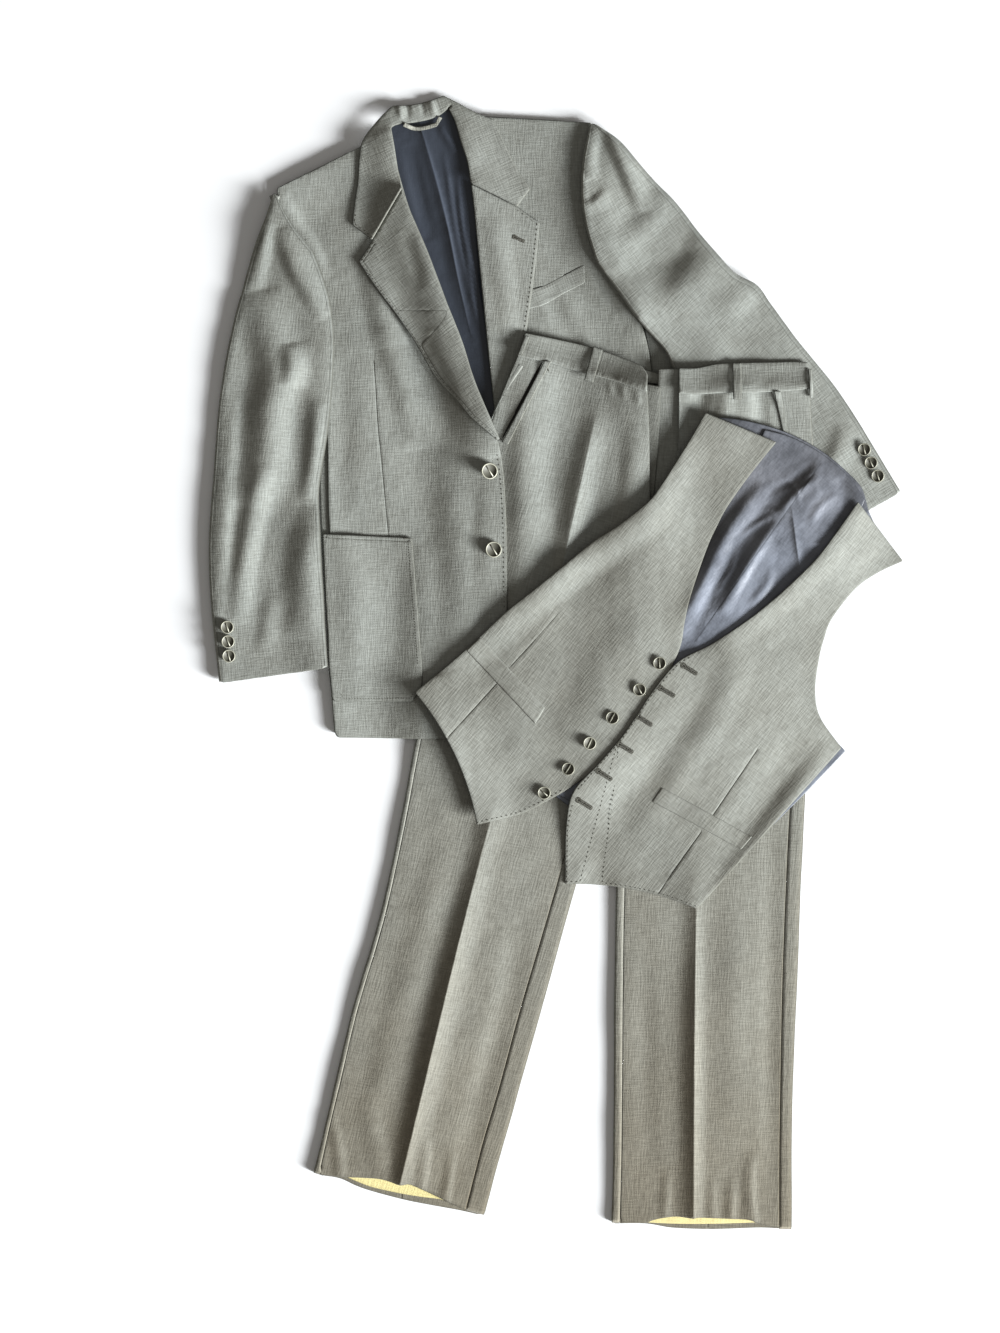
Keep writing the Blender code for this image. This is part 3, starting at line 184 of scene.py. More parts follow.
# Soft folds: half width, height (a trough where it is below 0), lean (how much narrower its left
# side is, looking along the path), edge (0 for a round fold, 1 for a pressed one) and path.
FOLDS = {
    "jacket_sleeve_right_top": [
        Fold(40, 8.4, 0.05, 0, ((-386, 196), (-364, 246), (-358, 314), (-350, 360), (-356, 405), (-372, 466))),
        Fold(22, 4.0, 0.1, 0, ((-398, 50), (-393, 110), (-380, 183), (-366, 250))),
        Fold(24, 4.6, 0.2, 0, ((-331, 346), (-328, 372), (-332, 400))),
        Fold(18, 3.2, 0.1, 0, ((-312, 200), (-303, 256), (-297, 330))),
        Fold(38, 4.4, 0.1, 0, ((-322, 30), (-318, 70), (-311, 134), (-284, 200))),
        Fold(24, 4.2, 0.3, 0, ((-290, 432), (-310, 468), (-326, 494), (-344, 545))),
        Fold(18, 2.8, 0, 0, ((-382, 462), (-370, 505), (-362, 555))),
        Fold(16, 1.8, 0, 0, ((-418, 60), (-416, 160), (-408, 260), (-402, 340))),
        Fold(20, 1.7, 0.1, 0, ((-366, 10), (-358, 60), (-346, 100))),
    ],
    "jacket_sleeve_left_top": [
        Fold(64, 5.2, 0.25, 0, ((74, 448), (120, 458), (168, 472), (226, 500))),
        Fold(34, 2.2, 0.2, 0, ((136, 440), (176, 505), (200, 566))),
        Fold(95, 4.5, 0, 0, ((410, 190), (356, 290), (300, 372), (240, 450), (176, 540), (116, 625), (70, 690))),
        Fold(20, 4.6, 0.3, 0, ((108, 566), (98, 592), (78, 640), (60, 680))),
        Fold(13, 1.9, 0.6, 0.2, ((26, 572), (46, 577), (62, 594))),
        Fold(18, 2.6, -0.2, 0, ((44, 604), (42, 640), (50, 672))),
        Fold(24, 1.8, 0, 0, ((80, 520), (110, 548), (140, 585))),
        Fold(36, -2.8, 0, 0, ((44, 670), (32, 600), (36, 540), (54, 490))),
        Fold(26, 1.5, 0, 0, ((206, 438), (244, 470), (266, 492))),
        Fold(30, 2.0, 0, 0, ((150, 430), (205, 380), (260, 320), (310, 260))),
        Fold(22, 2.2, 0.2, 0, ((320, 220), (350, 262), (362, 300))),
    ],
    "jacket_front_right": [
        Fold(36, 4.2, 0.25, 0, ((-174, 268), (-182, 318), (-192, 357), (-208, 407), (-222, 468), (-232, 520))),
        Fold(60, 8.5, 0.1, 0, ((-66, 262), (-98, 345), (-126, 420), (-150, 490), (-170, 548), (-190, 592))),
        Fold(16, 2.5, 0, 0, ((-292, 480), (-306, 520), (-330, 556), (-348, 588))),
        Fold(60, 3.5, 0, 0, ((-400, 560), (-350, 590), (-300, 618), (-240, 650), (-200, 670))),
        Fold(56, 2.4, 0, 0, ((-218, 160), (-222, 280), (-212, 420))),
        Fold(34, 1.4, 0, 0, ((-120, 300), (-128, 200), (-118, 90), (-112, -20))),
        Fold(100, 2.6, 0, 0, ((-196, 400), (-222, 500), (-240, 590), (-244, 680))),
        Fold(26, 2.2, 0.3, 0, ((-170, -80), (-176, 40), (-170, 150))),
        Fold(26, 1.4, 0.2, 0, ((-84, 60), (-88, 160), (-84, 240))),
        Fold(26, 1.2, 0.1, 0, ((-250, 180), (-246, 280), (-250, 380))),
    ],
    "jacket_pocket_right": [
        Fold(34, 1.0, 0, 0, ((-250, 150), (-246, 80), (-250, 0))),
        Fold(24, -0.5, 0, 0, ((-205, 140), (-200, 60), (-206, -20))),
    ],
    "jacket_front_left": [
        Fold(55, 4.5, 0, 0, ((150, 340), (104, 430), (64, 510), (42, 570), (40, 620))),
        Fold(18, -1.8, 0, 0, ((-10, 470), (6, 430), (30, 400))),
        Fold(16, -1.6, 0, 0, ((40, 520), (60, 480), (80, 440))),
    ],
    "jacket_lapel_right": [
        Fold(95, 7.2, 0.1, 0, ((-62, 250), (-74, 280), (-102, 355), (-130, 430), (-154, 500), (-176, 560), (-196, 610))),
        Fold(14, -1.4, 0, 0, ((-190, 540), (-176, 500), (-168, 470))),
        Fold(16, 1.6, 0.2, 0, ((-110, 320), (-134, 372), (-160, 420))),
    ],
    "jacket_lapel_left": [
        Fold(22, 1.6, 0, 0, ((-80, 560), (-66, 480), (-58, 400))),
    ],
    "jacket_collar": [
        Fold(50, 5.0, 0.1, 0, ((-180, 560), (-198, 610), (-206, 668), (-204, 700))),
        Fold(60, 5.0, 0, 0, ((40, 545), (0, 620), (-40, 690))),
        Fold(6, 2.2, 0.3, 0.3, ((-197, 706), (-192, 680))),
        Fold(5, -1.6, 0, 0.3, ((-187, 706), (-184, 682))),
        Fold(7, 2.2, 0.2, 0.3, ((-158, 708), (-150, 684))),
        Fold(4, -1.6, 0, 0.3, ((-168, 706), (-165, 684))),
    ],
    "jacket_back_lining": [
        Fold(9, 2.4, 0.6, 0.85, ((-172, 680), (-160, 640), (-146, 590), (-134, 540), (-122, 480), (-106, 410))),
        Fold(14, -2.4, 0, 0, ((-186, 650), (-172, 590), (-156, 530))),
        Fold(5, 2.4, 0.3, 0.3, ((-140, 640), (-131, 590), (-123, 540), (-110, 480), (-98, 430))),
        Fold(4, 1.9, 0.2, 0.4, ((-122, 620), (-119, 570), (-112, 520), (-104, 470), (-96, 420))),
        Fold(5, -1.9, 0, 0.3, ((-132, 610), (-126, 560), (-117, 510), (-106, 460))),
        Fold(4, 1.7, 0.2, 0.4, ((-110, 560), (-108, 520), (-100, 480), (-94, 440))),
        Fold(8, 2.6, 0.2, 0.2, ((-146, 672), (-134, 656), (-124, 640))),
        Fold(9, 2.6, 0, 0.2, ((-116, 668), (-108, 640), (-104, 600))),
        Fold(7, -2.0, 0, 0, ((-98, 540), (-92, 480), (-84, 420))),
        Fold(5, 1.6, 0.2, 0.4, ((-92, 500), (-86, 450), (-78, 400))),
    ],
    "trousers_front_right": [
        Fold(25, 6.0, 0.15, 1.0, ((-218, -740), (-195, -650), (-141, -427), (-110, -302), (-76, -172))),
        Fold(28, 2.2, 0.1, 0, ((-90, -224), (-58, -106), (2, 106))),
        Fold(25, 2.4, 0.15, 1.0, ((0, 98), (12, 140), (50, 312))),
        Fold(36, 3.6, 0.2, 0, ((-46, 20), (-42, 110), (-40, 200), (-38, 290), (-30, 376))),
        Fold(26, 2.4, 0.2, 0.5, ((-4, 60), (12, 141), (26, 218), (42, 285), (56, 330))),
        Fold(24, 2.2, 0.2, 0, ((80, 150), (92, 220), (98, 300))),
        Fold(14, 2.2, 0, 0, ((60, 150), (74, 90), (66, 20))),
        Fold(24, -1.4, 0, 0, ((-40, -300), (-62, -420), (-100, -560), (-118, -640))),
        Fold(30, 1.4, 0, 0, ((-130, -200), (-168, -340), (-206, -480), (-236, -600))),
        Fold(20, 1.0, 0.1, 0, ((-238, -540), (-226, -590), (-216, -640), (-210, -680))),
        Fold(12, 1.2, 0, 0, ((-282, -560), (-272, -610), (-270, -660))),
        Fold(12, 1.4, 0.2, 0, ((-160, -590), (-164, -625), (-172, -680))),
        Fold(10, 1.2, 0.2, 0, ((-128, -610), (-134, -645), (-140, -690))),
        Fold(5, 1.0, 0, 0, ((66, 352), (70, 336))),
        Fold(5, 1.0, 0, 0, ((82, 348), (86, 330))),
        Fold(5, 0.9, 0, 0, ((100, 342), (104, 322))),
    ],
    "trousers_front_left": [
        Fold(20, 4.5, -0.1, 1.0, ((171, -790), (172, -700), (173, -480), (176, -250))),
        Fold(26, 1.8, 0, 0, ((175, -322), (181, 0), (184, 180))),
        Fold(18, -3.0, 0.1, 0, ((184, 372), (182, 340), (176, 300))),
        Fold(18, 2.4, 0, 0, ((212, 366), (208, 300), (204, 220))),
        Fold(16, -2.2, 0, 0, ((252, 366), (256, 300), (262, 220))),
        Fold(16, 2.0, 0, 0, ((142, 366), (146, 300), (148, 220))),
        Fold(20, -1.2, 0, 0, ((270, -200), (268, -380), (268, -560), (270, -680))),
        Fold(20, -0.8, 0, 0, ((112, -340), (112, -480), (116, -640))),
        Fold(12, 1.4, 0.3, 0, ((246, -610), (244, -660), (250, -720))),
        Fold(10, 1.2, 0.2, 0, ((222, -640), (220, -670), (218, -730))),
        Fold(10, 1.0, 0.2, 0, ((140, -630), (138, -665), (136, -730))),
        Fold(10, 0.9, 0.2, 0, ((196, -640), (196, -670), (198, -730))),
        Fold(30, 1.2, 0, 0, ((226, -240), (224, -420), (222, -600))),
    ],
    "trousers_back_right": [
        Fold(22, 1.2, 0, 0, ((-30, -330), (-60, -450), (-96, -580))),
    ],
    "waistcoat_front_right": [
        Fold(36, 5.0, 0, 0, ((-150, -12), (-60, 62), (14, 122), (76, 164), (118, 200), (168, 284))),
        Fold(90, 9.5, 0, 0, ((-176, -20), (-160, -80), (-140, -150), (-112, -230))),
        Fold(40, 1.2, 0, 0, ((120, 60), (70, -10), (20, -80), (-30, -140))),
    ],
    "waistcoat_front_left": [
        Fold(30, 3.2, 0, 0, ((200, 20), (235, 56), (276, 84), (304, 110), (336, 140), (362, 176), (376, 206))),
        Fold(34, -3.4, 0.2, 0, ((322, -84), (280, -150), (230, -220), (176, -290))),
        Fold(26, 2.6, 0, 0, ((345, -100), (306, -150), (250, -220), (196, -296))),
        Fold(30, 1.8, 0, 0, ((236, 20), (200, -60), (150, -140), (96, -220))),
    ],
    "waistcoat_back_lining": [
        Fold(17, 5.2, 0.2, 0, ((150, 36), (184, 102), (207, 152), (233, 192), (262, 226))),
        Fold(12, 3.4, 0.1, 0, ((205, 62), (236, 118), (262, 158), (280, 176))),
        Fold(40, 3.8, 0.4, 0, ((182, 34), (252, 140), (300, 206), (338, 250))),
        Fold(9, -2.0, 0, 0.2, ((262, 212), (280, 222), (298, 230), (322, 252))),
        Fold(8, 2.0, 0.3, 0.3, ((278, 190), (300, 214), (330, 236))),
        Fold(7, 1.6, 0.2, 0.8, ((306, 112), (300, 150), (294, 196))),
        Fold(9, 1.6, 0, 0.3, ((318, 176), (330, 196), (350, 212))),
        Fold(14, -2.2, 0, 0, ((352, 232), (362, 212), (366, 190))),
        Fold(10, 1.8, 0, 0.2, ((240, 70), (262, 96), (270, 120))),
        Fold(6, 1.3, 0.3, 0.4, ((258, 196), (286, 188), (312, 170))),
        Fold(5, 1.2, 0.2, 0.4, ((286, 236), (300, 218), (306, 196))),
        Fold(6, 1.4, 0.2, 0.3, ((222, 150), (246, 172), (276, 190))),
        Fold(5, 1.1, 0.3, 0.4, ((300, 160), (322, 150), (338, 152))),
        Fold(6, 1.2, 0.3, 0.3, ((196, 86), (218, 118), (226, 146))),
    ],
}

SEAMS = {
    "trousers_back_right": [Seam(0.5, 0.8, ((-193.4, -640), (-192.9, -667)))],
    "trousers_back_left": [Seam(0.5, 0.8, ((190, -680), (190, -704.5)))],
    "jacket_front_right": [
        Seam(0.4, 0.7, ((-228, 377), (-226, 350), (-223, 300), (-218, 250), (-210, 163))),
    ],
    "jacket_lapel_right": [Seam(0.25, 0.6, Edge((-230, 527), (-72, 276), 5))],
    "jacket_pocket_right": [Seam(0.3, 0.6, Edge((-180, 158), (-292, 160), 5))],
    "waistcoat_front_right": [
        Seam(0.5, 0.7, ((4, 65), (-24, 33), (-58, -4))),
        Seam(0.5, 0.7, ((-75, -25), (-104, -57), (-136, -92))),
    ],
    "waistcoat_front_left": [
        Seam(0.5, 0.7, ((251, -107), (224, -147), (197, -187))),
        Seam(0.5, 0.7, ((181, -210), (154, -248), (129, -285))),
    ],
    "waistcoat_back_lining": [
        Seam(0.2, 0.8, ((330, 250), (254, 143), (175, 30))),
    ],
}

# Rows of single stitches that show on the cloth's face.
PICK_STITCHES = [
    Stitch("jacket_front_right", Edge((-62, 72), (-67, 262), 4)),
    Stitch("jacket_lapel_right", Edge((-238, 488), (-72, 276), 3.2)),
    Stitch("jacket_lapel_right", Edge((-230, 527), (-244, 506), 3.2)),
    Stitch("jacket_collar", Edge((-252, 560), (-232, 531), 3.2)),
    Stitch("jacket_lapel_left", Edge((-48, 330), (-22, 548), 3.2)),
    Stitch("jacket_lapel_left", Edge((-24, 551), (-46, 568), 3.2)),
    Stitch("waistcoat_front_right", Edge((-98, -203), (8, -162), 2.8)),
    Stitch("waistcoat_front_left", Edge((14, -276), (172, -306), 2.8)),
    Stitch("waistcoat_front_left", Edge((12, -176), (12, -272), 2.8)),
    Stitch("waistcoat_front_left", Edge((160, 20), (30, -158), 2.8)),
]
TOP_STITCHES = [
    Stitch("jacket_pocket_right", Edge((-168, 0), (-182, 156), 5)),
    Stitch("jacket_pocket_right", Edge((-284, -46), (-170, -40), 4)),
    Stitch("jacket_pocket_right", Edge((-184, 158), (-290, 162), 5)),
]
BAR_TACKS = [
    Stitch("trousers_front_right", ((-14, 378), (-9, 366))),
    Stitch("trousers_front_left", ((282, 345), (279, 338))),
    Stitch("trousers_front_left", ((283, 290), (290, 288))),
    Stitch("jacket_pocket_right", ((-184, 157), (-190, 157))),
]

# Buttonholes: the piece, the centre, the angle of the slit in degrees, its length and half its width.
Buttonhole = namedtuple("Buttonhole", "node x y angle length half", defaults=(0.7,))
BUTTONHOLES = [
    Buttonhole("waistcoat_front_left", 167, -7, -32, 22),
    Buttonhole("waistcoat_front_left", 139, -35, -30, 22),
    Buttonhole("waistcoat_front_left", 111, -71, -33, 22),
    Buttonhole("waistcoat_front_left", 87, -105, -31, 22),
    Buttonhole("waistcoat_front_left", 61, -139, -33, 22),
    Buttonhole("waistcoat_front_left", 36, -175, -32, 22),
]
LAPEL_BUTTONHOLE = Buttonhole("jacket_lapel_left", -46, 531, -25, 16, 0.35)

BUTTONS = [
    Button("jacket_button_front_upper", 4, -18, -57),
    Button("jacket_button_front_lower", 4, -6, -57),
    Button("jacket_button_cuff_right_upper", 0, -8, -70),
    Button("jacket_button_cuff_right_middle", 0, -8, -66),
    Button("jacket_button_cuff_right_lower", 0, -8, -72),
    Button("jacket_button_cuff_left_upper", 8, 8, -74),
    Button("jacket_button_cuff_left_middle", 8, 8, -62),
    Button("jacket_button_cuff_left_lower", 8, 8, -70),
    Button("waistcoat_button_1", 2, 4, -84),
    Button("waistcoat_button_2", 4, 6, -60),
    Button("waistcoat_button_3", -3, 6, 62),
    Button("waistcoat_button_4", 2, -6, 66),
    Button("waistcoat_button_5", -4, 5, 58),
    Button("waistcoat_button_6", 3, 3, -40),
]
SEGMENTS = 48

# Pocket mouths as strips of painted shade: the piece that each lies on, the piece whose border it follows,
# the part of that border and its width in mm.
Opening = namedtuple("Opening", "node welt edge width")
OPENINGS = [
    Opening("trousers_front_right", "trousers_slash_welt_right", Edge((-15, 378), (-66, 281), -1.6), 3.6),
    Opening("jacket_front_left", "jacket_breast_welt", Edge((-34, 470), (36, 499), -0.2), 1.0),
]

# Borders that the cloth pulls in from their CAD node: start, end and how far in, in mm.
PULLED_IN = {
    "waistcoat_back": Edge((380, 236), (434, 130), 11),
    "waistcoat_back_lining": Edge((206, 306), (388, 196), -8),
    "trousers_waistband_right": Edge((-49, 385), (113, 340), -2.6),
    "trousers_waistband_left": Edge((153, 338), (318, 344), -2.2),
    "jacket_side_right": Edge((-290, 30), (-276, -95), 4),
}


# Hems as they lie: each line takes the place of the stretch of border between its ends.
HEMS = {
    "trousers_front_right": (
        (-296, -638.4), (-275, -640.6), (-255, -641.9), (-224, -643.6), (-209, -647), (-197, -651.4),
        (-191, -651.6), (-183, -650.8), (-165, -658.3), (-148, -666.4), (-122, -679), (-113, -682),
    ),
    "trousers_back_right": (
        (-304, -637.2), (-290, -640), (-269, -643.8), (-241, -656), (-193, -669.3), (-156, -676.8),
        (-127, -682), (-108, -686), (-90, -690.4),
    ),
    "trousers_front_left": (
        (81, -699.3), (112, -698.6), (120, -696), (130, -693.4), (150, -691), (171, -693.4), (179, -692.3),
        (214, -693.6), (240, -695), (250, -698.4), (262, -702), (279, -704.2),
    ),
    "trousers_back_left": (
        (69, -699.9), (112, -699.9), (145, -705), (189, -706.8), (225, -706), (255, -705), (280, -706), (294, -707),
    ),
    "jacket_front_right": (
        (-282, 60), (-285.5, 30), (-284.8, 2), (-281, -38), (-278.4, -70), (-276.6, -86), (-272, -92), (-240, -92.4),
    ),
    "jacket_pocket_right": (
        (-285, 30), (-284.2, 2), (-281.2, -30), (-280.2, -42), (-276.5, -46.8), (-246, -47),
    ),
}
FACINGS = {
    "trousers_hem_facing_right": (
        (-262, -641.5), (-246, -648.5), (-229, -654.5), (-195, -662), (-168, -666.4), (-144, -669.6), (-126, -676),
        (-122, -656), (-160, -640), (-200, -630), (-248, -630),
    ),
    "trousers_hem_facing_left": (
        (112, -698.2), (140, -699.6), (171, -700.2), (214, -699.6), (252, -698.2),
        (252, -681), (214, -677), (171, -675), (130, -677), (112, -680),
    ),
}


class SuitClothSettings(bpy.types.PropertyGroup):
    """How the cloth lies and its colours."""

    fold_height: bpy.props.FloatProperty(
        name="Fold height", description="Height of the soft folds against the photographed ones",
        default=1.0, min=0.0, max=1.5, subtype="FACTOR",
    )
    wave_height: bpy.props.FloatProperty(
        name="Wave height", description="Height of the slight waves of the cloth against the usual ones",
        default=0.45, min=0.0, max=2.0, subtype="FACTOR",
    )
    suiting_dark: bpy.props.FloatVectorProperty(
        name="Suiting, dark yarn", description="Colour of the suiting's dark yarns",
        default=(0.127, 0.128, 0.108), min=0.0, max=1.0, subtype="COLOR",
    )
    suiting_light: bpy.props.FloatVectorProperty(
        name="Suiting, light yarn", description="Colour of the suiting's light yarns",
        default=(0.425, 0.452, 0.424), min=0.0, max=1.0, subtype="COLOR",
    )
    lining_colour: bpy.props.FloatVectorProperty(
        name="Lining", description="Colour of the jacket's slate lining",
        default=(0.042, 0.050, 0.066), min=0.0, max=1.0, subtype="COLOR",
    )
    satin_colour: bpy.props.FloatVectorProperty(
        name="Satin", description="Colour of the waistcoat's lilac satin back",
        default=(0.162, 0.178, 0.212), min=0.0, max=1.0, subtype="COLOR",
    )
    cotton_colour: bpy.props.FloatVectorProperty(
        name="Cotton", description="Colour of the cream cotton inside the trouser hems",
        default=(0.84, 0.74, 0.36), min=0.0, max=1.0, subtype="COLOR",
    )
    braid_colour: bpy.props.FloatVectorProperty(
        name="Braid", description="Colour of the hanger loop",
        default=(0.28, 0.28, 0.24), min=0.0, max=1.0, subtype="COLOR",
    )


class SuitTrimSettings(bpy.types.PropertyGroup):
    """Stitches, buttonholes and buttons."""

    stitch_spacing: bpy.props.FloatProperty(
        name="Pick stitch spacing", description="Distance between two pick stitches on an edge",
        default=6.0 * MM, min=2 * MM, max=20 * MM, unit="LENGTH",
    )
    stitch_length: bpy.props.FloatProperty(
        name="Stitch length", description="Length of one pick stitch",
        default=2.8 * MM, min=0.5 * MM, max=8 * MM, unit="LENGTH",
    )
    stitch_width: bpy.props.FloatProperty(
        name="Stitch width", description="Thickness of the sewing thread",
        default=0.9 * MM, min=0.1 * MM, max=2 * MM, unit="LENGTH",
    )
    thread_colour: bpy.props.FloatVectorProperty(
        name="Thread", description="Colour of the sewing thread",
        default=(0.075, 0.072, 0.055), min=0.0, max=1.0, subtype="COLOR",
    )
    metal_colour: bpy.props.FloatVectorProperty(
        name="Button metal", description="Colour of the buttons' rims and bars",
        default=(0.33, 0.325, 0.26), min=0.0, max=1.0, subtype="COLOR",
    )
    recess_colour: bpy.props.FloatVectorProperty(
        name="Button recess", description="Colour of the buttons' recess",
        default=(0.07, 0.068, 0.05), min=0.0, max=1.0, subtype="COLOR",
    )


class SuitStageSettings(bpy.types.PropertyGroup):
    """Floor, light and camera."""

    floor_colour: bpy.props.FloatVectorProperty(
        name="Floor", description="Colour of the plain floor",
        default=(0.93, 0.94, 0.95), min=0.0, max=1.0, subtype="COLOR",
    )
    key_strength: bpy.props.FloatProperty(
        name="Key light", description="Power of the large soft light, from the lower right, in watts",
        default=1120.0, min=0.0, max=4000.0,
    )
    low_strength: bpy.props.FloatProperty(
        name="Low light", description="Strength of the wide low light that makes the soft floor shadows",
        default=7.9, min=0.0, max=40.0,
    )
    sky_strength: bpy.props.FloatProperty(
        name="Sky", description="Strength of the even light from all round",
        default=0.20, min=0.0, max=5.0,
    )
    lens: bpy.props.FloatProperty(
        name="Lens", description="Focal length of the camera, in millimetres",
        default=200.0, min=20.0, max=500.0,
    )


def array(points):
    return np.asarray(points, float)


def smooth_path(points, step=PATH_STEP):
    """A smooth line through the points, read about step apart."""
    points = array(points)
    if len(points) == 2:
        count = max(2, math.ceil(np.linalg.norm(points[1] - points[0]) / step) + 1)
        return points[0] + (points[1] - points[0]) * np.linspace(0, 1, count)[:, None]
    before = 2 * points[0] - points[1]
    after = 2 * points[-1] - points[-2]
    padded = np.vstack([before, points, after])
    out = []
    for i in range(len(points) - 1):
        a, b, c, d = padded[i : i + 4]
        count = max(1, math.ceil(np.linalg.norm(c - b) / step))
        t = (np.arange(count) / count)[:, None]
        curve = (c - a) * t + (2 * a - 5 * b + 4 * c - d) * t**2 + (3 * b - a - 3 * c + d) * t**3
        out.append(b + curve / 2)
    out.append(points[-1:])
    return np.vstack(out)


def nearest(xy, path):
    """For each point: its distance from a path, its side of it (left is positive) and the share along."""
    start = path[:-1]
    run = np.diff(path, axis=0)
    length = np.linalg.norm(run, axis=1)
    reach = np.concatenate([[0], np.cumsum(length)])
    best = np.full(len(xy), np.inf)
    side = np.ones(len(xy))
    along = np.zeros(len(xy))
    for i in range(len(start)):
        offset = xy - start[i]
        share = np.clip(offset @ run[i] / max(length[i], 1e-9) ** 2, 0, 1)
        away = offset - share[:, None] * run[i]
        distance = np.hypot(away[:, 0], away[:, 1])
        closer = distance < best
        best = np.where(closer, distance, best)
        turn = np.where(run[i][0] * offset[:, 1] - run[i][1] * offset[:, 0] >= 0, 1.0, -1.0)
        side = np.where(closer, turn, side)
        along = np.where(closer, reach[i] + share * length[i], along)
    return best, side, along / reach[-1]


def relief(xy, folds):
    """The height that soft folds add: each fades at its ends, and lean sets how much steeper its left side is."""
    total = np.zeros(len(xy))
    for fold in folds:
        path = smooth_path(fold.path, 12)
        reach = fold.width * (1 + abs(fold.lean))
        low = path.min(axis=0) - reach
        high = path.max(axis=0) + reach
        inside = ((xy > low) & (xy < high)).all(axis=1)
        if not inside.any():
            continue
        distance, side, share = nearest(xy[inside], path)
        width = fold.width * np.where(side > 0, 1 - fold.lean, 1 + fold.lean)
        t = np.clip(distance / width, 0, 1)
        soft = 0.5 + 0.5 * np.cos(np.pi * t)
        sharp = (1 - t) ** 2
        ends = np.sin(np.pi * np.clip(share, 0, 1)) ** 0.6
        total[inside] += fold.height * ends * (fold.edge * sharp + (1 - fold.edge) * soft)
    return total


def unevenness(xy, height, seed):
    """The slight waviness of cloth: waves of many directions and lengths, the same each run."""
    dice = np.random.default_rng(seed)
    total = np.zeros(len(xy))
    for length, share in ((170, 1.0), (95, 0.6), (52, 0.32), (27, 0.12), (14, 0.05)):
        for _ in range(3):
            angle = dice.uniform(0, math.pi)
            phase = dice.uniform(0, 2 * math.pi)
            scale = 2 * math.pi / (length * dice.uniform(0.8, 1.25))
            wave = xy @ np.array([math.cos(angle), math.sin(angle)]) * scale + phase
            total += share * np.sin(wave)
    return height * total


class Pile:
    """The height of the cloth laid so far, on square cells. The surface below lets cloth lie at zero."""

    def __init__(self):
        self.columns = round(2 * HALF_X / CELL)
        self.lines = round(2 * HALF_Y / CELL)
        self.top = self.empty(-GAP)

    def empty(self, value):
        return np.full((self.lines, self.columns), float(value))

    def flat_index(self, xy):
        i = np.clip((xy[:, 1] + HALF_Y) / CELL, 0, self.lines - 1).astype(int)
        j = np.clip((xy[:, 0] + HALF_X) / CELL, 0, self.columns - 1).astype(int)
        return i * self.columns + j

    def read(self, field, xy):
        """Field values between cell centres."""
        u = np.clip((xy[:, 1] + HALF_Y) / CELL - 0.5, 0, self.lines - 1.001)
        v = np.clip((xy[:, 0] + HALF_X) / CELL - 0.5, 0, self.columns - 1.001)
        i = u.astype(int)
        j = v.astype(int)
        a = u - i
        b = v - j
        low = field[i, j] * (1 - b) + field[i, j + 1] * b
        high = field[i + 1, j] * (1 - b) + field[i + 1, j + 1] * b
        return low * (1 - a) + high * a

    def widened(self):
        wide = self.top
        for axis in (0, 1):
            wide = np.maximum(wide, np.maximum(np.roll(wide, 1, axis), np.roll(wide, -1, axis)))
        return wide

    def add(self, points, triangles):
        spread = spread_over(points, triangles)
        np.maximum.at(self.top.ravel(), self.flat_index(spread), spread[:, 2])


PILE = Pile()
WAITING = {}
FINISHES = {}


def spread_over(points, triangles):
    """Points spread over triangles, at most PAINT_STEP apart."""
    a, b, c = (points[triangles[:, k]] for k in range(3))
    longest = np.sqrt(np.maximum.reduce([((a - b) ** 2).sum(1), ((b - c) ** 2).sum(1), ((c - a) ** 2).sum(1)]))
    counts = np.maximum(1, np.ceil(longest / PAINT_STEP)).astype(int)
    out = []
    for count in np.unique(counts):
        chosen = counts == count
        steps = np.arange(count + 1) / count
        u, v = np.meshgrid(steps, steps)
        keep = u + v < 1 + 1e-9
        u = u[keep][None, :, None]
        v = v[keep][None, :, None]
        out.append((a[chosen, None] * (1 - u - v) + b[chosen, None] * u + c[chosen, None] * v).reshape(-1, 3))
    return np.concatenate(out)


def box_blur(field):
    """A wide soft blur: box averages, several times over each axis."""
    for _ in range(BLUR_PASSES):
        for axis in (0, 1):
            total = sum(np.roll(field, shift, axis) for shift in range(-BLUR_CELLS, BLUR_CELLS + 1))
            field = total / (2 * BLUR_CELLS + 1)
    return field


def solid(node):
    """A CAD node's points in mm and its triangles, with doubles merged."""
    form = bmesh.new()
    form.from_mesh(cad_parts[node].data)
    bmesh.ops.remove_doubles(form, verts=form.verts, dist=1e-6)
    bmesh.ops.triangulate(form, faces=form.faces)
    form.normal_update()
    return form


def level(node, upper):
    """The height of a CAD node's upper or lower face, blurred and carried past its border."""
    form = solid(node)
    points = array([vertex.co for vertex in form.verts]) / MM
    triangles = np.array([[vertex.index for vertex in face.verts] for face in form.faces])
    form.free()
    spread = spread_over(points, triangles)
    field = PILE.empty(-np.inf)
    sign = 1 if upper else -1
    np.maximum.at(field.ravel(), PILE.flat_index(spread), sign * spread[:, 2])
    held = np.isfinite(field)
    weight = box_blur(held.astype(float))
    value = box_blur(np.where(held, sign * field, 0.0))
    return np.where(weight > 1e-4, value / np.maximum(weight, 1e-4), 0.0)


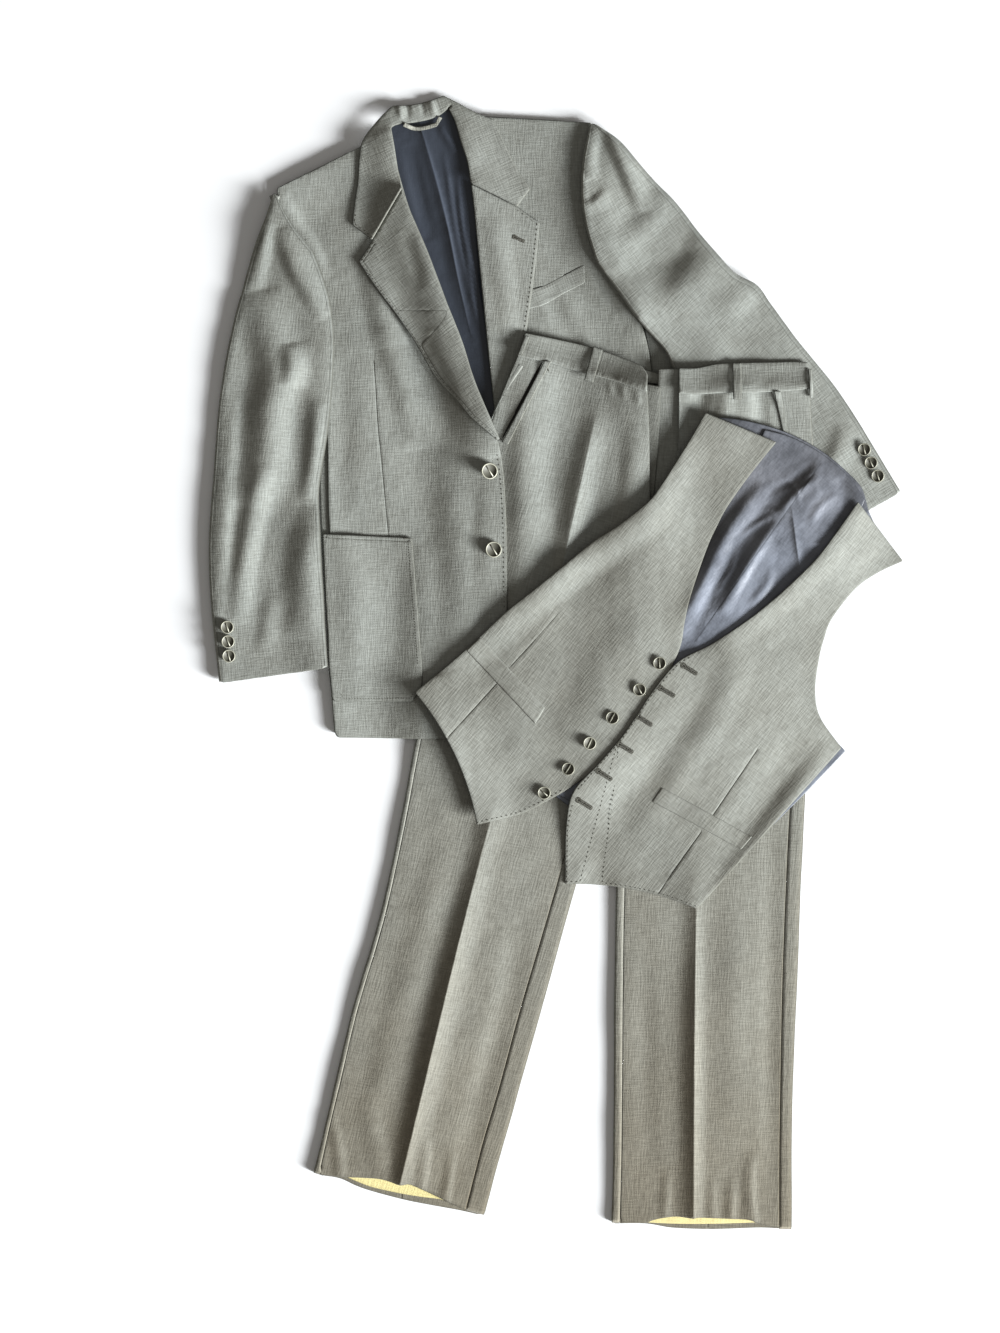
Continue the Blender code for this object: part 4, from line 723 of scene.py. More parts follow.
def plan_border(node):
    """The border of a CAD node seen from above: its points in order, anticlockwise, in mm."""
    form = solid(node)
    form.faces.ensure_lookup_table()
    signs = {face: (face.normal.z > UP) - (face.normal.z < -UP) for face in form.faces}
    seen = set()
    best = []
    widest = 0.0
    for first in form.faces:
        if first in seen or signs[first] == 0:
            continue
        patch = {first}
        queue = [first]
        while queue:
            face = queue.pop()
            for edge in face.edges:
                for other in edge.link_faces:
                    if other not in patch and signs[other] == signs[first]:
                        patch.add(other)
                        queue.append(other)
        seen |= patch
        area = sum(face.calc_area() * abs(face.normal.z) for face in patch)
        if area > widest:
            widest = area
            best = patch
    follow = {}
    for face in best:
        for loop in face.loops:
            if all(other is face or other not in best for other in loop.edge.link_faces):
                follow[loop.vert] = loop.link_loop_next.vert
    start = next(iter(follow))
    border = [start]
    while follow[border[-1]] is not start:
        border.append(follow[border[-1]])
    points = array([vertex.co.xy for vertex in border]) / MM
    form.free()
    return points if signed_area(points) > 0 else points[::-1]


def pulled_in(node):
    """A node's plan border as the cloth lies: with its hem, or one stretch moved in where the cloth pulls."""
    if node in FACINGS:
        return array(FACINGS[node])
    border = plan_border(node)
    if node in HEMS:
        line = array(HEMS[node])
        gone = stretch(border, line[0], line[-1])
        start = (gone[-1] + 1) % len(border)
        kept = (start + np.arange(len(border) - len(gone))) % len(border)
        return np.concatenate([border[kept], line])
    if node not in PULLED_IN:
        return border
    pull = PULLED_IN[node]
    index = stretch(border, pull.start, pull.end)
    share = np.linspace(0, 1, len(index))[:, None]
    border = border.copy()
    border[index] += inward(border)[index] * pull.inset * np.sin(math.pi * share) ** 0.6
    return border


def stretch(border, start, end):
    """The indices of the shorter way along a border between the points nearest to two places."""
    first = int(np.argmin(((border - array(start)) ** 2).sum(axis=1)))
    last = int(np.argmin(((border - array(end)) ** 2).sum(axis=1)))
    count = (last - first) % len(border)
    back = (first - last) % len(border)
    if back < count:
        return (last + np.arange(back + 1)) % len(border)
    return (first + np.arange(count + 1)) % len(border)


def signed_area(points):
    x, y = points.T
    return 0.5 * np.sum(x * np.roll(y, -1) - y * np.roll(x, -1))


def chains(points, step):
    """A closed border as smooth chains between its corners, each ending where the next one starts."""
    ahead = np.roll(points, -1, axis=0) - points
    heading = np.degrees(np.arctan2(ahead[:, 1], ahead[:, 0]))
    turn = np.abs((heading - np.roll(heading, 1) + 180) % 360 - 180)
    corners = np.flatnonzero(turn > CORNER_ANGLE)
    out = []
    for a, b in zip(corners, np.roll(corners, -1)):
        index = np.arange(a, b + 1 if b > a else b + len(points) + 1) % len(points)
        out.append(smooth_path(points[index], step))
    return out


def rounded_corners(sides):
    """The chains with their shared corners cut back a little, so that no tip is needle sharp."""
    out = []
    for side in sides:
        line = side.copy()
        first = line[1] - line[0]
        last = line[-2] - line[-1]
        line[0] += first * min(0.45, CORNER_CUT / np.linalg.norm(first))
        line[-1] += last * min(0.45, CORNER_CUT / np.linalg.norm(last))
        out.append(line)
    return out


def inward(points, closed=True):
    """Unit normals that point to the left of a line's direction, which is inside an anticlockwise border."""
    if closed:
        run = np.roll(points, -1, axis=0) - np.roll(points, 1, axis=0)
    else:
        run = np.gradient(points, axis=0)
    normal = np.stack([-run[:, 1], run[:, 0]], axis=1)
    return normal / np.maximum(np.linalg.norm(normal, axis=1), 1e-9)[:, None]


def border_distance(xy, border):
    """The distance of each point from a closed border, exact near it."""
    closed = np.vstack([border, border[:1]])
    return nearest(xy, closed)[0]


def lattice(border, step):
    """Points of a triangular lattice over a border's box."""
    low = border.min(axis=0) - step
    high = border.max(axis=0) + step
    rise = step * math.sqrt(0.75)
    rows = np.arange(low[1], high[1], rise)
    columns = np.arange(low[0], high[0], step)
    x = columns[None, :] + (np.arange(len(rows)) % 2)[:, None] * step / 2
    y = np.repeat(rows[:, None], len(columns), axis=1)
    return np.stack([x.ravel(), y.ravel()], axis=1)


def near_field(border, step):
    """Marks the cells near a border: their distance from it, and a large number elsewhere."""
    field = PILE.empty(1e3)
    closed = np.vstack([border, border[:1]])
    dense = smooth_path(closed, 1.0) if len(closed) == 2 else resampled(closed, 1.0)
    field.ravel()[PILE.flat_index(dense)] = 0
    reach = math.ceil(step / CELL) + 1
    near = field
    for axis in (0, 1):
        for _ in range(reach):
            near = np.minimum(near, np.minimum(np.roll(near, 1, axis), np.roll(near, -1, axis)))
    return near < 1


def resampled(points, step):
    """A polyline's points at even distances, at most step apart."""
    length = np.concatenate([[0], np.cumsum(np.linalg.norm(np.diff(points, axis=0), axis=1))])
    count = max(2, math.ceil(length[-1] / step) + 1)
    even = np.linspace(0, length[-1], count)
    return np.stack([np.interp(even, length, points[:, k]) for k in range(points.shape[1])], axis=1)


def fill(border, step, cuts=(), rings=RIM_RINGS):
    """Triangles over a closed border: rings just inside it, points along cuts and a lattice.

    Returns the points, the triangles, each point's distance from the border and the border's indices.
    """
    count = len(border)
    blocks = [border]
    normal = inward(border)
    for ring in rings:
        inner = border + normal * ring
        blocks.append(inner[border_distance(inner, border) > 0.8 * ring])
    edges = [(i, (i + 1) % count) for i in range(count)]
    total = sum(len(block) for block in blocks)
    lines = []
    for path, width in cuts:
        line = resampled(smooth_path(path), step)
        side = inward(line, closed=False)
        for shift in (0.0, -width, width, -2 * width, 2 * width) if width else (0.0,):
            shifted = line + side * shift
            kept = (border_distance(shifted, border) > 1.2) & point_inside(shifted, border)
            lines.append(shifted[kept])
            if shift == 0.0:
                runs = np.flatnonzero(kept[:-1] & kept[1:])
                order = np.cumsum(kept) - 1
                edges.extend((total + order[k], total + order[k + 1]) for k in runs)
            blocks.append(shifted[kept])
            total += int(kept.sum())
    grid = lattice(border, step)
    close = near_field(border, rings[-1] + 2 * step)
    at = PILE.flat_index(grid)
    beside = close.ravel()[at]
    keep = np.ones(len(grid), bool)
    keep[beside] = border_distance(grid[beside], border) > rings[-1] + 0.45 * step
    if lines:
        marks = np.concatenate(lines)
        for path, width in cuts:
            line = smooth_path(path)
            keep &= nearest(grid, line)[0] > 2 * width + 0.45 * step
    keep &= point_inside(grid, border)
    blocks.append(grid[keep])
    xy = np.concatenate(blocks)
    made = delaunay_2d_cdt([Vector(p) for p in xy], edges, [], 1, 1e-6, True)
    points = array([p[:] for p in made[0]])
    triangles = np.array([face for face in made[2] if len(face) == 3])
    triangles = triangles[point_inside(points[triangles].mean(axis=1), border)]
    used, triangles = np.unique(triangles, return_inverse=True)
    triangles = triangles.reshape(-1, 3)
    points = points[used]
    renamed = {old: new for new, old in enumerate(used)}
    border_index = np.full(count, -1)
    for made_index, given in enumerate(made[3]):
        for old in given:
            if old < count and made_index in renamed:
                border_index[old] = renamed[made_index]
    a, b, c = (points[triangles[:, k]] for k in range(3))
    flip = (b[:, 0] - a[:, 0]) * (c[:, 1] - a[:, 1]) < (b[:, 1] - a[:, 1]) * (c[:, 0] - a[:, 0])
    triangles[flip] = triangles[flip][:, ::-1]
    beside = close.ravel()[PILE.flat_index(points)]
    depth = np.full(len(points), 1e3)
    depth[beside] = border_distance(points[beside], border)
    depth[depth < 0.05] = 0
    thin = (depth[triangles] == 0).all(axis=1)
    centres = points[triangles[thin]].mean(axis=1)
    if len(centres):
        a, b, c = triangles[thin].T
        middle = len(points) + np.arange(len(centres))
        split = [np.stack(corner, axis=1) for corner in ((a, b, middle), (b, c, middle), (c, a, middle))]
        points = np.vstack([points, centres])
        triangles = np.concatenate([triangles[~thin]] + split)
        depth = np.concatenate([depth, np.maximum(border_distance(centres, border), 0.1)])
    return points, triangles, depth, border_index


def point_inside(xy, border):
    """Whether each point is inside a closed border."""
    inside = np.zeros(len(xy), bool)
    x, y = xy.T
    for (ax, ay), (bx, by) in zip(border, np.roll(border, -1, axis=0)):
        if ay == by:
            continue
        crosses = (ay > y) != (by > y)
        inside ^= crosses & (x < (bx - ax) * (y - ay) / (by - ay) + ax)
    return inside


def neighbours(triangles, count):
    """A function that averages a value over each point's neighbours."""
    pairs = np.concatenate([triangles[:, [0, 1]], triangles[:, [1, 2]], triangles[:, [2, 0]]])
    a = np.concatenate([pairs[:, 0], pairs[:, 1]])
    b = np.concatenate([pairs[:, 1], pairs[:, 0]])
    degree = np.maximum(np.bincount(a, minlength=count), 1)
    return lambda value: np.bincount(a, weights=value[b], minlength=count) / degree


def settle(shape, need, triangles):
    """Raises a shape just enough to clear what is below, and spreads the lift softly round it."""
    average = neighbours(triangles, len(shape))
    least = np.maximum(need - shape, 0)
    lift = least
    for _ in range(RELAX_ROUNDS):
        lift = np.maximum(0.5 * lift + 0.5 * average(lift), least)
    return shape + lift


def grooves(xy, seams):
    """The depth of the seams at each point, and how far it lies in one, from 0 to 1."""
    depth = np.zeros(len(xy))
    mark = np.zeros(len(xy))
    for seam in seams:
        distance, _, _ = nearest(xy, smooth_path(seam.path))
        share = np.clip(1 - distance / (1.6 * seam.width), 0, 1)
        depth = np.maximum(depth, seam.depth * share)
        mark = np.maximum(mark, share * (seam.depth > 0))
    return depth, mark


def grain_map(xy, axis):
    """Cloth coordinates in mm: across and along a panel's grain."""
    path = smooth_path(axis, 20)
    first = path[0] + (path[0] - path[1]) / np.linalg.norm(path[0] - path[1]) * 1500
    last = path[-1] + (path[-1] - path[-2]) / np.linalg.norm(path[-1] - path[-2]) * 1500
    path = np.vstack([first, path, last])
    distance, side, share = nearest(xy, path)
    total = np.linalg.norm(np.diff(path, axis=0), axis=1).sum()
    return np.stack([-side * distance, share * total], axis=1)


def vertex_normals(points, triangles):
    a, b, c = (points[triangles[:, k]] for k in range(3))
    face = np.cross(b - a, c - a)
    normal = np.zeros(points.shape)
    for k in range(3):
        for axis in range(3):
            normal[:, axis] += np.bincount(triangles[:, k], weights=face[:, axis], minlength=len(points))
    return normal / np.maximum(np.linalg.norm(normal, axis=1), 1e-9)[:, None]


def shell(name, middle, triangles, half, uv, marks, material):
    """A closed cloth shell about a middle surface. Where half is zero, the two faces meet in a rim."""
    normal = vertex_normals(middle, triangles)
    lower = np.arange(len(middle))
    split = half > 0
    lower[split] = len(middle) + np.arange(int(split.sum()))
    points = np.concatenate([middle + normal * half[:, None], (middle - normal * half[:, None])[split]])
    faces = np.concatenate([triangles, lower[triangles][:, ::-1]])
    source = np.concatenate([np.arange(len(middle)), np.flatnonzero(split)])
    mesh = bpy.data.meshes.new(name)
    mesh.vertices.add(len(points))
    mesh.vertices.foreach_set("co", (points * MM).astype(np.float32).ravel())
    mesh.loops.add(faces.size)
    mesh.loops.foreach_set("vertex_index", faces.ravel().astype(np.int32))
    mesh.polygons.add(len(faces))
    mesh.polygons.foreach_set("loop_start", np.arange(0, faces.size, 3, dtype=np.int32))
    mesh.update(calc_edges=True)
    layer = mesh.uv_layers.new(name="grain")
    layer.data.foreach_set("uv", (uv[source][faces.ravel()] * MM).astype(np.float32).ravel())
    for key, value in marks.items():
        attribute = mesh.attributes.new(key, "FLOAT", "POINT")
        attribute.data.foreach_set("value", value[source].astype(np.float32))
    mesh.validate()
    mesh.shade_smooth()
    mesh.materials.append(material)
    made = bpy.data.objects.new(name, mesh)
    bpy.context.scene.collection.objects.link(made)
    return made


def rim_half(depth, wall, reach):
    """Half the cloth's thickness at a distance from its border, with a rounded edge."""
    t = np.clip(depth / reach, 0, 1)
    return wall / 2 * np.sqrt(1 - (1 - t) ** 2)


def sewn_share(node, xy):
    """1 at the stretches of a piece's border that are sewn down or turn over softly, and their taper."""
    share = np.zeros(len(xy))
    taper = np.zeros(len(xy))
    for edge in SEWN.get(node, ()):
        near = nearest(xy, edge_path(node, edge._replace(inset=0)))[0] < 3 + edge.inset
        share[near] = 1
        taper[near] = edge.inset
    return share, taper


def resting(panel, xy):
    """The height of a panel's low face at each place, from its CAD node."""
    over = panel.node.startswith("jacket_sleeve")
    return PILE.read(level(panel.node, over), xy) - (panel.wall if over else 0.0)


def folded(panel, xy):
    """What a panel's folds and waves add to its height."""
    settings = bpy.context.scene.suit_cloth
    folds = [fold._replace(path=path_of(panel.node, fold.path)) for fold in FOLDS.get(panel.node, ())]
    waves = unevenness(xy, settings.wave_height * panel.rough, PANEL_ORDER[panel.node])
    return settings.fold_height * relief(xy, folds) + waves


def tube_height(panel, sides, xy):
    """The height of a panel's flattened tube at each place: it falls to nothing where the tube is narrow."""
    if not panel.node.startswith("jacket_sleeve"):
        return np.full(len(xy), float(panel.tube))
    longest = sorted(sides, key=len)[-2:]
    width = nearest(xy, longest[0])[0] + nearest(xy, longest[1])[0]
    share = np.clip(width / TUBE_FULL, 0, 1)
    return panel.wall + (panel.tube - panel.wall) * share * (2 - share)


def lay_panel(panel, order):
    """Makes one panel, lays it on the pile and adds it to it."""
    sides = rounded_corners(chains(pulled_in(panel.node), panel.step))
    folds = FOLDS.get(panel.node, ())
    seams = [seam._replace(path=path_of(panel.node, seam.path)) for seam in SEAMS.get(panel.node, ())]
    cuts = [(seam.path, seam.width) for seam in seams]
    cuts += [(path_of(panel.node, fold.path), 0.8) for fold in folds if fold.edge > 0.5]
    tube = panel.tube if panel.turn else 0
    over = panel.node.startswith("jacket_sleeve")
    outer = np.concatenate(sides)
    ribbons = []
    if tube:
        outer, ribbons = turned_sides(sides, tube, panel)
    points, triangles, depth, border_index = fill(outer, panel.step, cuts)
    groove, mark = grooves(points, seams)
    flush = panel.node in FLUSH
    need = PILE.read(PILE.top if flush else PILE.widened(), points) + (0.05 if flush else GAP) + groove
    tall = tube_height(panel, sides, points) if tube else np.zeros(len(points))
    if flush:
        low = need - groove
    else:
        lift = tall - panel.wall if over else 0.0
        base = settle(resting(panel, points), need + lift, triangles)
        low = settle(base + folded(panel, points), need + np.where(depth < 2, lift, 0), triangles) - groove
        if over:
            tall = tall + np.maximum(low + groove - base, 0)
    sewn_in, taper = sewn_share(panel.node, points)
    taper = np.full(len(points), FLUSH[panel.node]) if flush else taper
    half = rim_half(depth, panel.wall, np.where(taper > 0, taper, np.where(sewn_in > 0, 0.5, EDGE_ROUND)))
    rise = np.where((depth == 0) & (sewn_in > 0), (0.5 + SEAM_RISE) * panel.wall, panel.wall / 2)
    middle = np.concatenate([points, (low + np.where(taper > 0, half, rise))[:, None]], axis=1)
    flat = points
    # The rim mask is painted shade: dark along free edges, where contact shadows fall, and weaker where the border
    # is sewn.
    rim = np.exp(-depth / 0.8) * (1 - 0.6 * sewn_in)
    if flush:
        # The thin flush welts get a faint line of painted shade round their edges.
        rim = 0.5 * np.exp(-depth / 0.6) * (FLUSH[panel.node] < 3)
    for first, normal in ribbons:
        index = border_index[first : first + len(normal)]
        found = index >= 0
        if panel.node.startswith("trousers"):
            found &= ~((points[index, 1] > OPEN_FLY[1]) & (np.abs(points[index, 0] - OPEN_FLY[0]) < 40))
        middle, triangles, half, flat, rim, mark = attach(
            index[found], normal[found], panel, over, tall, middle, triangles, half, flat, rim, mark
        )
    uv = grain_map(flat, panel.grain) + 137.0 * order
    material = finish_of(panel.cloth)
    # Cloth that faces away from the light is painted tanner and darker: painted shade.
    turned = -(vertex_normals(middle, triangles)[:, :2] @ array(LIGHT_SIDE))
    marks = {"rim": rim, "seam": mark, "warm": tan_and_painted_shade(panel, middle) + PAINTED_SHADE_TAN * np.clip(turned, -0.15, 0.25)}
    piece = shell(panel.node + "_cloth", middle, triangles, half, uv, marks, material)
    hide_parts(panel.node)
    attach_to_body(piece, "root")
    top = middle + np.array([0, 0, panel.wall / 2])
    if isinstance(panel.turn, str):
        WAITING[panel.turn] = (top, triangles)
        PILE.add(top[: len(points)], triangles[(triangles < len(points)).all(axis=1)])
    else:
        PILE.add(top, triangles)
    for held in (WAITING.pop(panel.node, None),):
        if held:
            PILE.add(*held)
    declare_sheet(flat, middle, triangles, panel)
    return piece


def tan_and_painted_shade(panel, points):
    """How far the cloth's tone goes from grey to tan: the waistcoat a little tanner than the jacket, with painted
    shade that makes the trousers tanner and darker towards their hems and the satin towards its top.
    """
    if panel.cloth != "suiting":
        return np.interp(points[:, 1], (40, 130, 230), (0.0, 0.1, 0.4)) if panel.cloth == "satin" else np.zeros(len(points))
    if panel.node.startswith("trousers"):
        return np.interp(points[:, 1], (-700, -350, 100, 350), (0.8, 0.48, 0.16, 0.12))
    return np.full(len(points), 0.27 if panel.node.startswith("waistcoat") else 0.12)


def declare_sheet(flat, middle, triangles, panel):
    """Works out the size that a panel is cut to, its spans across and along the grain, and its area; the result is
    not kept.
    """
    cut = grain_map(flat, panel.grain)
    plan = np.concatenate([flat, np.zeros((len(flat), 1))], axis=1)
    areas = []
    for points in (plan, middle):
        a, b, c = (points[triangles[:, k]] for k in range(3))
        areas.append(np.linalg.norm(np.cross(b - a, c - a), axis=1).sum() / 2 * MM**2)
    spans = (cut.max(axis=0) - cut.min(axis=0)) * MM * math.sqrt(max(1.0, areas[1] / areas[0]))
    spans = np.maximum(spans, 0.01).round(4)


def turned_sides(sides, tube, panel):
    """Moves the long sides of a border in by the tube's radius.

    Returns the border, and for each of those sides its first index in it and its inward normals.
    """
    if panel.node in TURNED_AT:
        place = array(TURNED_AT[panel.node])
        longest = [min(range(len(sides)), key=lambda k: np.linalg.norm(sides[k] - place, axis=1).min())]
    else:
        longest = sorted(range(len(sides)), key=lambda k: -len(sides[k]))[:2]
    moved = []
    ribbons = []
    start = 0
    for k, side in enumerate(sides):
        if k in longest:
            normal = inward(side, closed=False)
            tall = tube_height(panel, sides, side)
            part = side + normal * tall[:, None] / 2
            clear = np.ones(len(part), bool)
            for other in longest:
                if other != k:
                    clear &= nearest(part, sides[other])[0] > 0.5 * tall + 0.3
            part = part[clear]
            ribbons.append((start, normal[clear]))
        else:
            clear = tube_height(panel, sides, side[[0, -1]]) / 2 + 0.6
            part = side
            if (k - 1) % len(sides) in longest:
                part = part[np.linalg.norm(part - side[0], axis=1) > clear[0]]
            if (k + 1) % len(sides) in longest:
                part = part[np.linalg.norm(part - side[-1], axis=1) > clear[1]]
        moved.append(part)
        start += len(part)
    return np.concatenate(moved), ribbons


def attach(first, normal, panel, over, tall, middle, triangles, half, flat, rim, mark):
    """Adds the cloth that turns round one side of a tube to the panel's middle surface."""
    radius = np.maximum(tall[first] - panel.wall, 0.2) / 2
    line = middle[first, :2]
    height = middle[first, 2]
    width = np.full(len(line), 0.0 if isinstance(panel.turn, str) else panel.turn - panel.tube / 2)
    rest = 2 * radius
    if isinstance(panel.turn, str):
        partner = PANELS[panel.turn]
        width = border_distance(line, plan_border(panel.turn)) - SEAM_GAP
        where = line + normal * width[:, None]
        met = resting(partner, where) + folded(partner, where) + partner.wall / 2 - height
        radius = np.clip(met / 2, 0.6, 1.45 * radius)
        rest = np.clip(met, 2 * radius, 2 * radius + 2.5)
    half[first] = panel.wall / 2
    half[first[[0, -1]]] = 0
    rim[first] = 0
    sign = -1.0 if over else 1.0
    # Painted contact shade on the turn: each arc row is darkest at the tube's side, and strongest where that side
    # faces the light, so the turn shows a dark line in place of a lit one.
    painted_contact_shade = 0.15 + 0.85 * np.clip(-(normal @ array(LIGHT_SIDE)) * 2, 0, 1)
    arcs = 6
    places = []
    for k in range(1, arcs + 1):
        angle = math.pi * k / arcs
        dark = min(1.0, 1.2 * math.sin(angle))
        places.append((-radius * math.sin(angle), radius * (1 - math.cos(angle)), radius * angle, dark))
    strips = max(2, round(width.max() / 5))
    for k in range(1, strips + 2):
        share = min(k / strips, 1.0) if k != strips else 1 - 0.6 / width.max()
        ease = share * share * (3 - 2 * share)
        length = math.pi * radius + width * share
        places.append((width * share, 2 * radius * (1 - ease) + rest * ease, length, 0.0))
    rows = [first]
    for n, (reach, rise, along, dark) in enumerate(places):
        reach = np.broadcast_to(reach, len(line))[:, None]
        along = np.broadcast_to(along, len(line))[:, None]
        rise = np.broadcast_to(rise, len(line))
        points = np.concatenate([line + normal * reach, (height + sign * rise)[:, None]], axis=1)
        rows.append(len(middle) + np.arange(len(line)))
        middle = np.concatenate([middle, points])
        last = n == len(places) - 1
        thick = np.full(len(line), 0.0 if last else panel.wall / 2)
        thick[[0, -1]] = 0
        half = np.concatenate([half, thick])
        flat = np.concatenate([flat, line - normal * along])
        # Arc rows take the painted contact shade, and the last row a faint line of it.
        rim = np.concatenate([rim, np.full(len(line), 0.12) if last else dark * painted_contact_shade])
        mark = np.concatenate([mark, np.zeros(len(line))])
    quads = []
    for a, b in zip(rows, rows[1:]):
        quads.append(np.stack([a[:-1], b[:-1], a[1:]], axis=1))
        quads.append(np.stack([a[1:], b[:-1], b[1:]], axis=1))
    return middle, np.concatenate([triangles] + quads), half, flat, rim, mark


class Nodes:
    """Adds nodes to a tree and links them: an input given as a socket is linked, any other is set."""

    def __init__(self, tree):
        self.tree = tree

    def add(self, kind, inputs=None, **settings):
        node = self.tree.nodes.new(kind)
        for key, value in settings.items():
            setattr(node, key, value)
        for key, value in (inputs or {}).items():
            if isinstance(value, bpy.types.NodeSocket):
                self.tree.links.new(value, node.inputs[key])
            else:
                node.inputs[key].default_value = value
        return node

    def math(self, operation, *values, clamp=False):
        return self.add("ShaderNodeMath", dict(enumerate(values)), operation=operation, use_clamp=clamp).outputs[0]

    def scaled(self, vector, scale):
        return self.add("ShaderNodeVectorMath", {0: vector, 1: scale}, operation="MULTIPLY").outputs[0]

    def noise(self, vector, scale, detail=1.0):
        inputs = {"Vector": self.scaled(vector, scale), "Scale": 1.0, "Detail": detail, "Roughness": 0.5}
        return self.add("ShaderNodeTexNoise", inputs).outputs["Fac"]

    def ranged(self, value, low, high, to_low=0.0, to_high=1.0):
        inputs = {"Value": value, "From Min": low, "From Max": high, "To Min": to_low, "To Max": to_high}
        return self.add("ShaderNodeMapRange", inputs).outputs["Result"]

    def mix(self, factor, a, b, blend="MIX"):
        node = self.add("ShaderNodeMix", {0: factor, 6: a, 7: b}, data_type="RGBA", blend_type=blend)
        return node.outputs[2]


def shader_group(name, inputs, outputs):
    """A new shader node group with named inputs and outputs."""
    tree = bpy.data.node_groups.new(name, "ShaderNodeTree")
    for label, kind, value in inputs:
        socket = tree.interface.new_socket(label, in_out="INPUT", socket_type="NodeSocket" + kind)
        if value is not None:
            socket.default_value = value
    for label, kind in outputs:
        tree.interface.new_socket(label, in_out="OUTPUT", socket_type="NodeSocket" + kind)
    nodes = Nodes(tree)
    return tree, nodes, nodes.add("NodeGroupInput").outputs


def weave_group():
    """The look of cloth: streaky yarns both ways, pale slubs, soft blotches and dark seams, with painted shade along
    its edges and in its tan tint.
    """
    found = bpy.data.node_groups.get("Weave")
    if found:
        return found
    tree, nodes, given = shader_group(
        "Weave",
        [
            ("Vector", "Vector", None), ("Edge shade", "Float", 0.0), ("Seam", "Float", 0.0),
            ("Dark", "Color", (0.2, 0.2, 0.2, 1)), ("Light", "Color", (0.5, 0.5, 0.5, 1)),
            ("Edge", "Color", (0.6, 0.6, 0.6, 1)), ("Seam and shade", "Color", (0.05, 0.05, 0.05, 1)),
            ("Streak", "Float", 1.0), ("Slub", "Float", 1.0),
            ("Blotch", "Float", 1.0), ("Pitch", "Float", 0.0009), ("Warm", "Float", 0.0), ("Crumple", "Float", 0.0),
        ],
        [("Color", "Color"), ("Height", "Float"), ("Roughness", "Float")],
    )
    uv = given["Vector"]
    warp = nodes.ranged(nodes.noise(uv, (520, 60, 1), 1), 0.34, 0.66)
    weft = nodes.ranged(nodes.noise(uv, (64, 560, 3), 1), 0.34, 0.66)
    wide_warp = nodes.ranged(nodes.noise(uv, (230, 15, 15)), 0.34, 0.66)
    wide_weft = nodes.ranged(nodes.noise(uv, (17, 250, 17)), 0.34, 0.66)
    parts = nodes.add("ShaderNodeSeparateXYZ", {0: uv}).outputs
    turn = nodes.math("DIVIDE", 2 * math.pi, given["Pitch"])
    across = nodes.math("SINE", nodes.math("MULTIPLY", parts[0], turn))
    along = nodes.math("SINE", nodes.math("MULTIPLY", parts[1], turn))
    over = nodes.math("MULTIPLY", across, along)
    fine = nodes.math("ADD", warp, weft)
    wide = nodes.math("ADD", wide_warp, wide_weft)
    both = nodes.math("MULTIPLY_ADD", wide, 0.22, nodes.math("SUBTRACT", fine, 1.22))
    blotch = nodes.math("SUBTRACT", nodes.noise(uv, (19, 14, 9), 3), 0.5)
    tone = nodes.math("MULTIPLY_ADD", both, given["Streak"], 0.5)
    tone = nodes.math("MULTIPLY_ADD", over, nodes.math("MULTIPLY", given["Streak"], 0.5), tone)
    tone = nodes.math("MULTIPLY_ADD", blotch, given["Blotch"], tone)
    base = nodes.mix(nodes.math("ADD", tone, 0.0, clamp=True), given["Dark"], given["Light"])
    slub_warp = nodes.ranged(nodes.noise(uv, (430, 17, 11)), 0.66, 0.76)
    slub_weft = nodes.ranged(nodes.noise(uv, (15, 460, 13)), 0.66, 0.76)
    slub = nodes.math("MAXIMUM", slub_warp, slub_weft)
    base = nodes.mix(nodes.math("MULTIPLY", slub, given["Slub"]), base, given["Edge"])
    # The tan tint, which also darkens: random blotches, and painted shade where the cloth faces away from the light,
    # down the trousers and at the satin's top.
    warm = nodes.math("MULTIPLY_ADD", blotch, 0.22, given["Warm"], clamp=True)
    base = nodes.mix(warm, base, (0.67, 0.545, 0.415, 1), "MULTIPLY")
    # The edge mask paints shade along the cloth's edges and turns, and the seam mask darkens the seams; both mix
    # towards the near-black line colour.
    line = nodes.math("MAXIMUM", given["Edge shade"], nodes.math("MULTIPLY", given["Seam"], 0.62))
    base = nodes.mix(nodes.math("MULTIPLY", line, 0.9), base, given["Seam and shade"])
    height = nodes.math("MULTIPLY_ADD", over, 0.35, both)
    height = nodes.math("MULTIPLY_ADD", slub, 0.4, height)
    height = nodes.math("MULTIPLY_ADD", nodes.noise(uv, (52, 34, 40), 3), given["Crumple"], height)
    rough = nodes.math("MULTIPLY_ADD", both, 0.1, 0.8)
    nodes.add("NodeGroupOutput", {"Color": base, "Height": height, "Roughness": rough})
    return tree


def tint(colour, factor):
    return tuple(min(1.0, part * factor) for part in colour[:3]) + (1.0,)


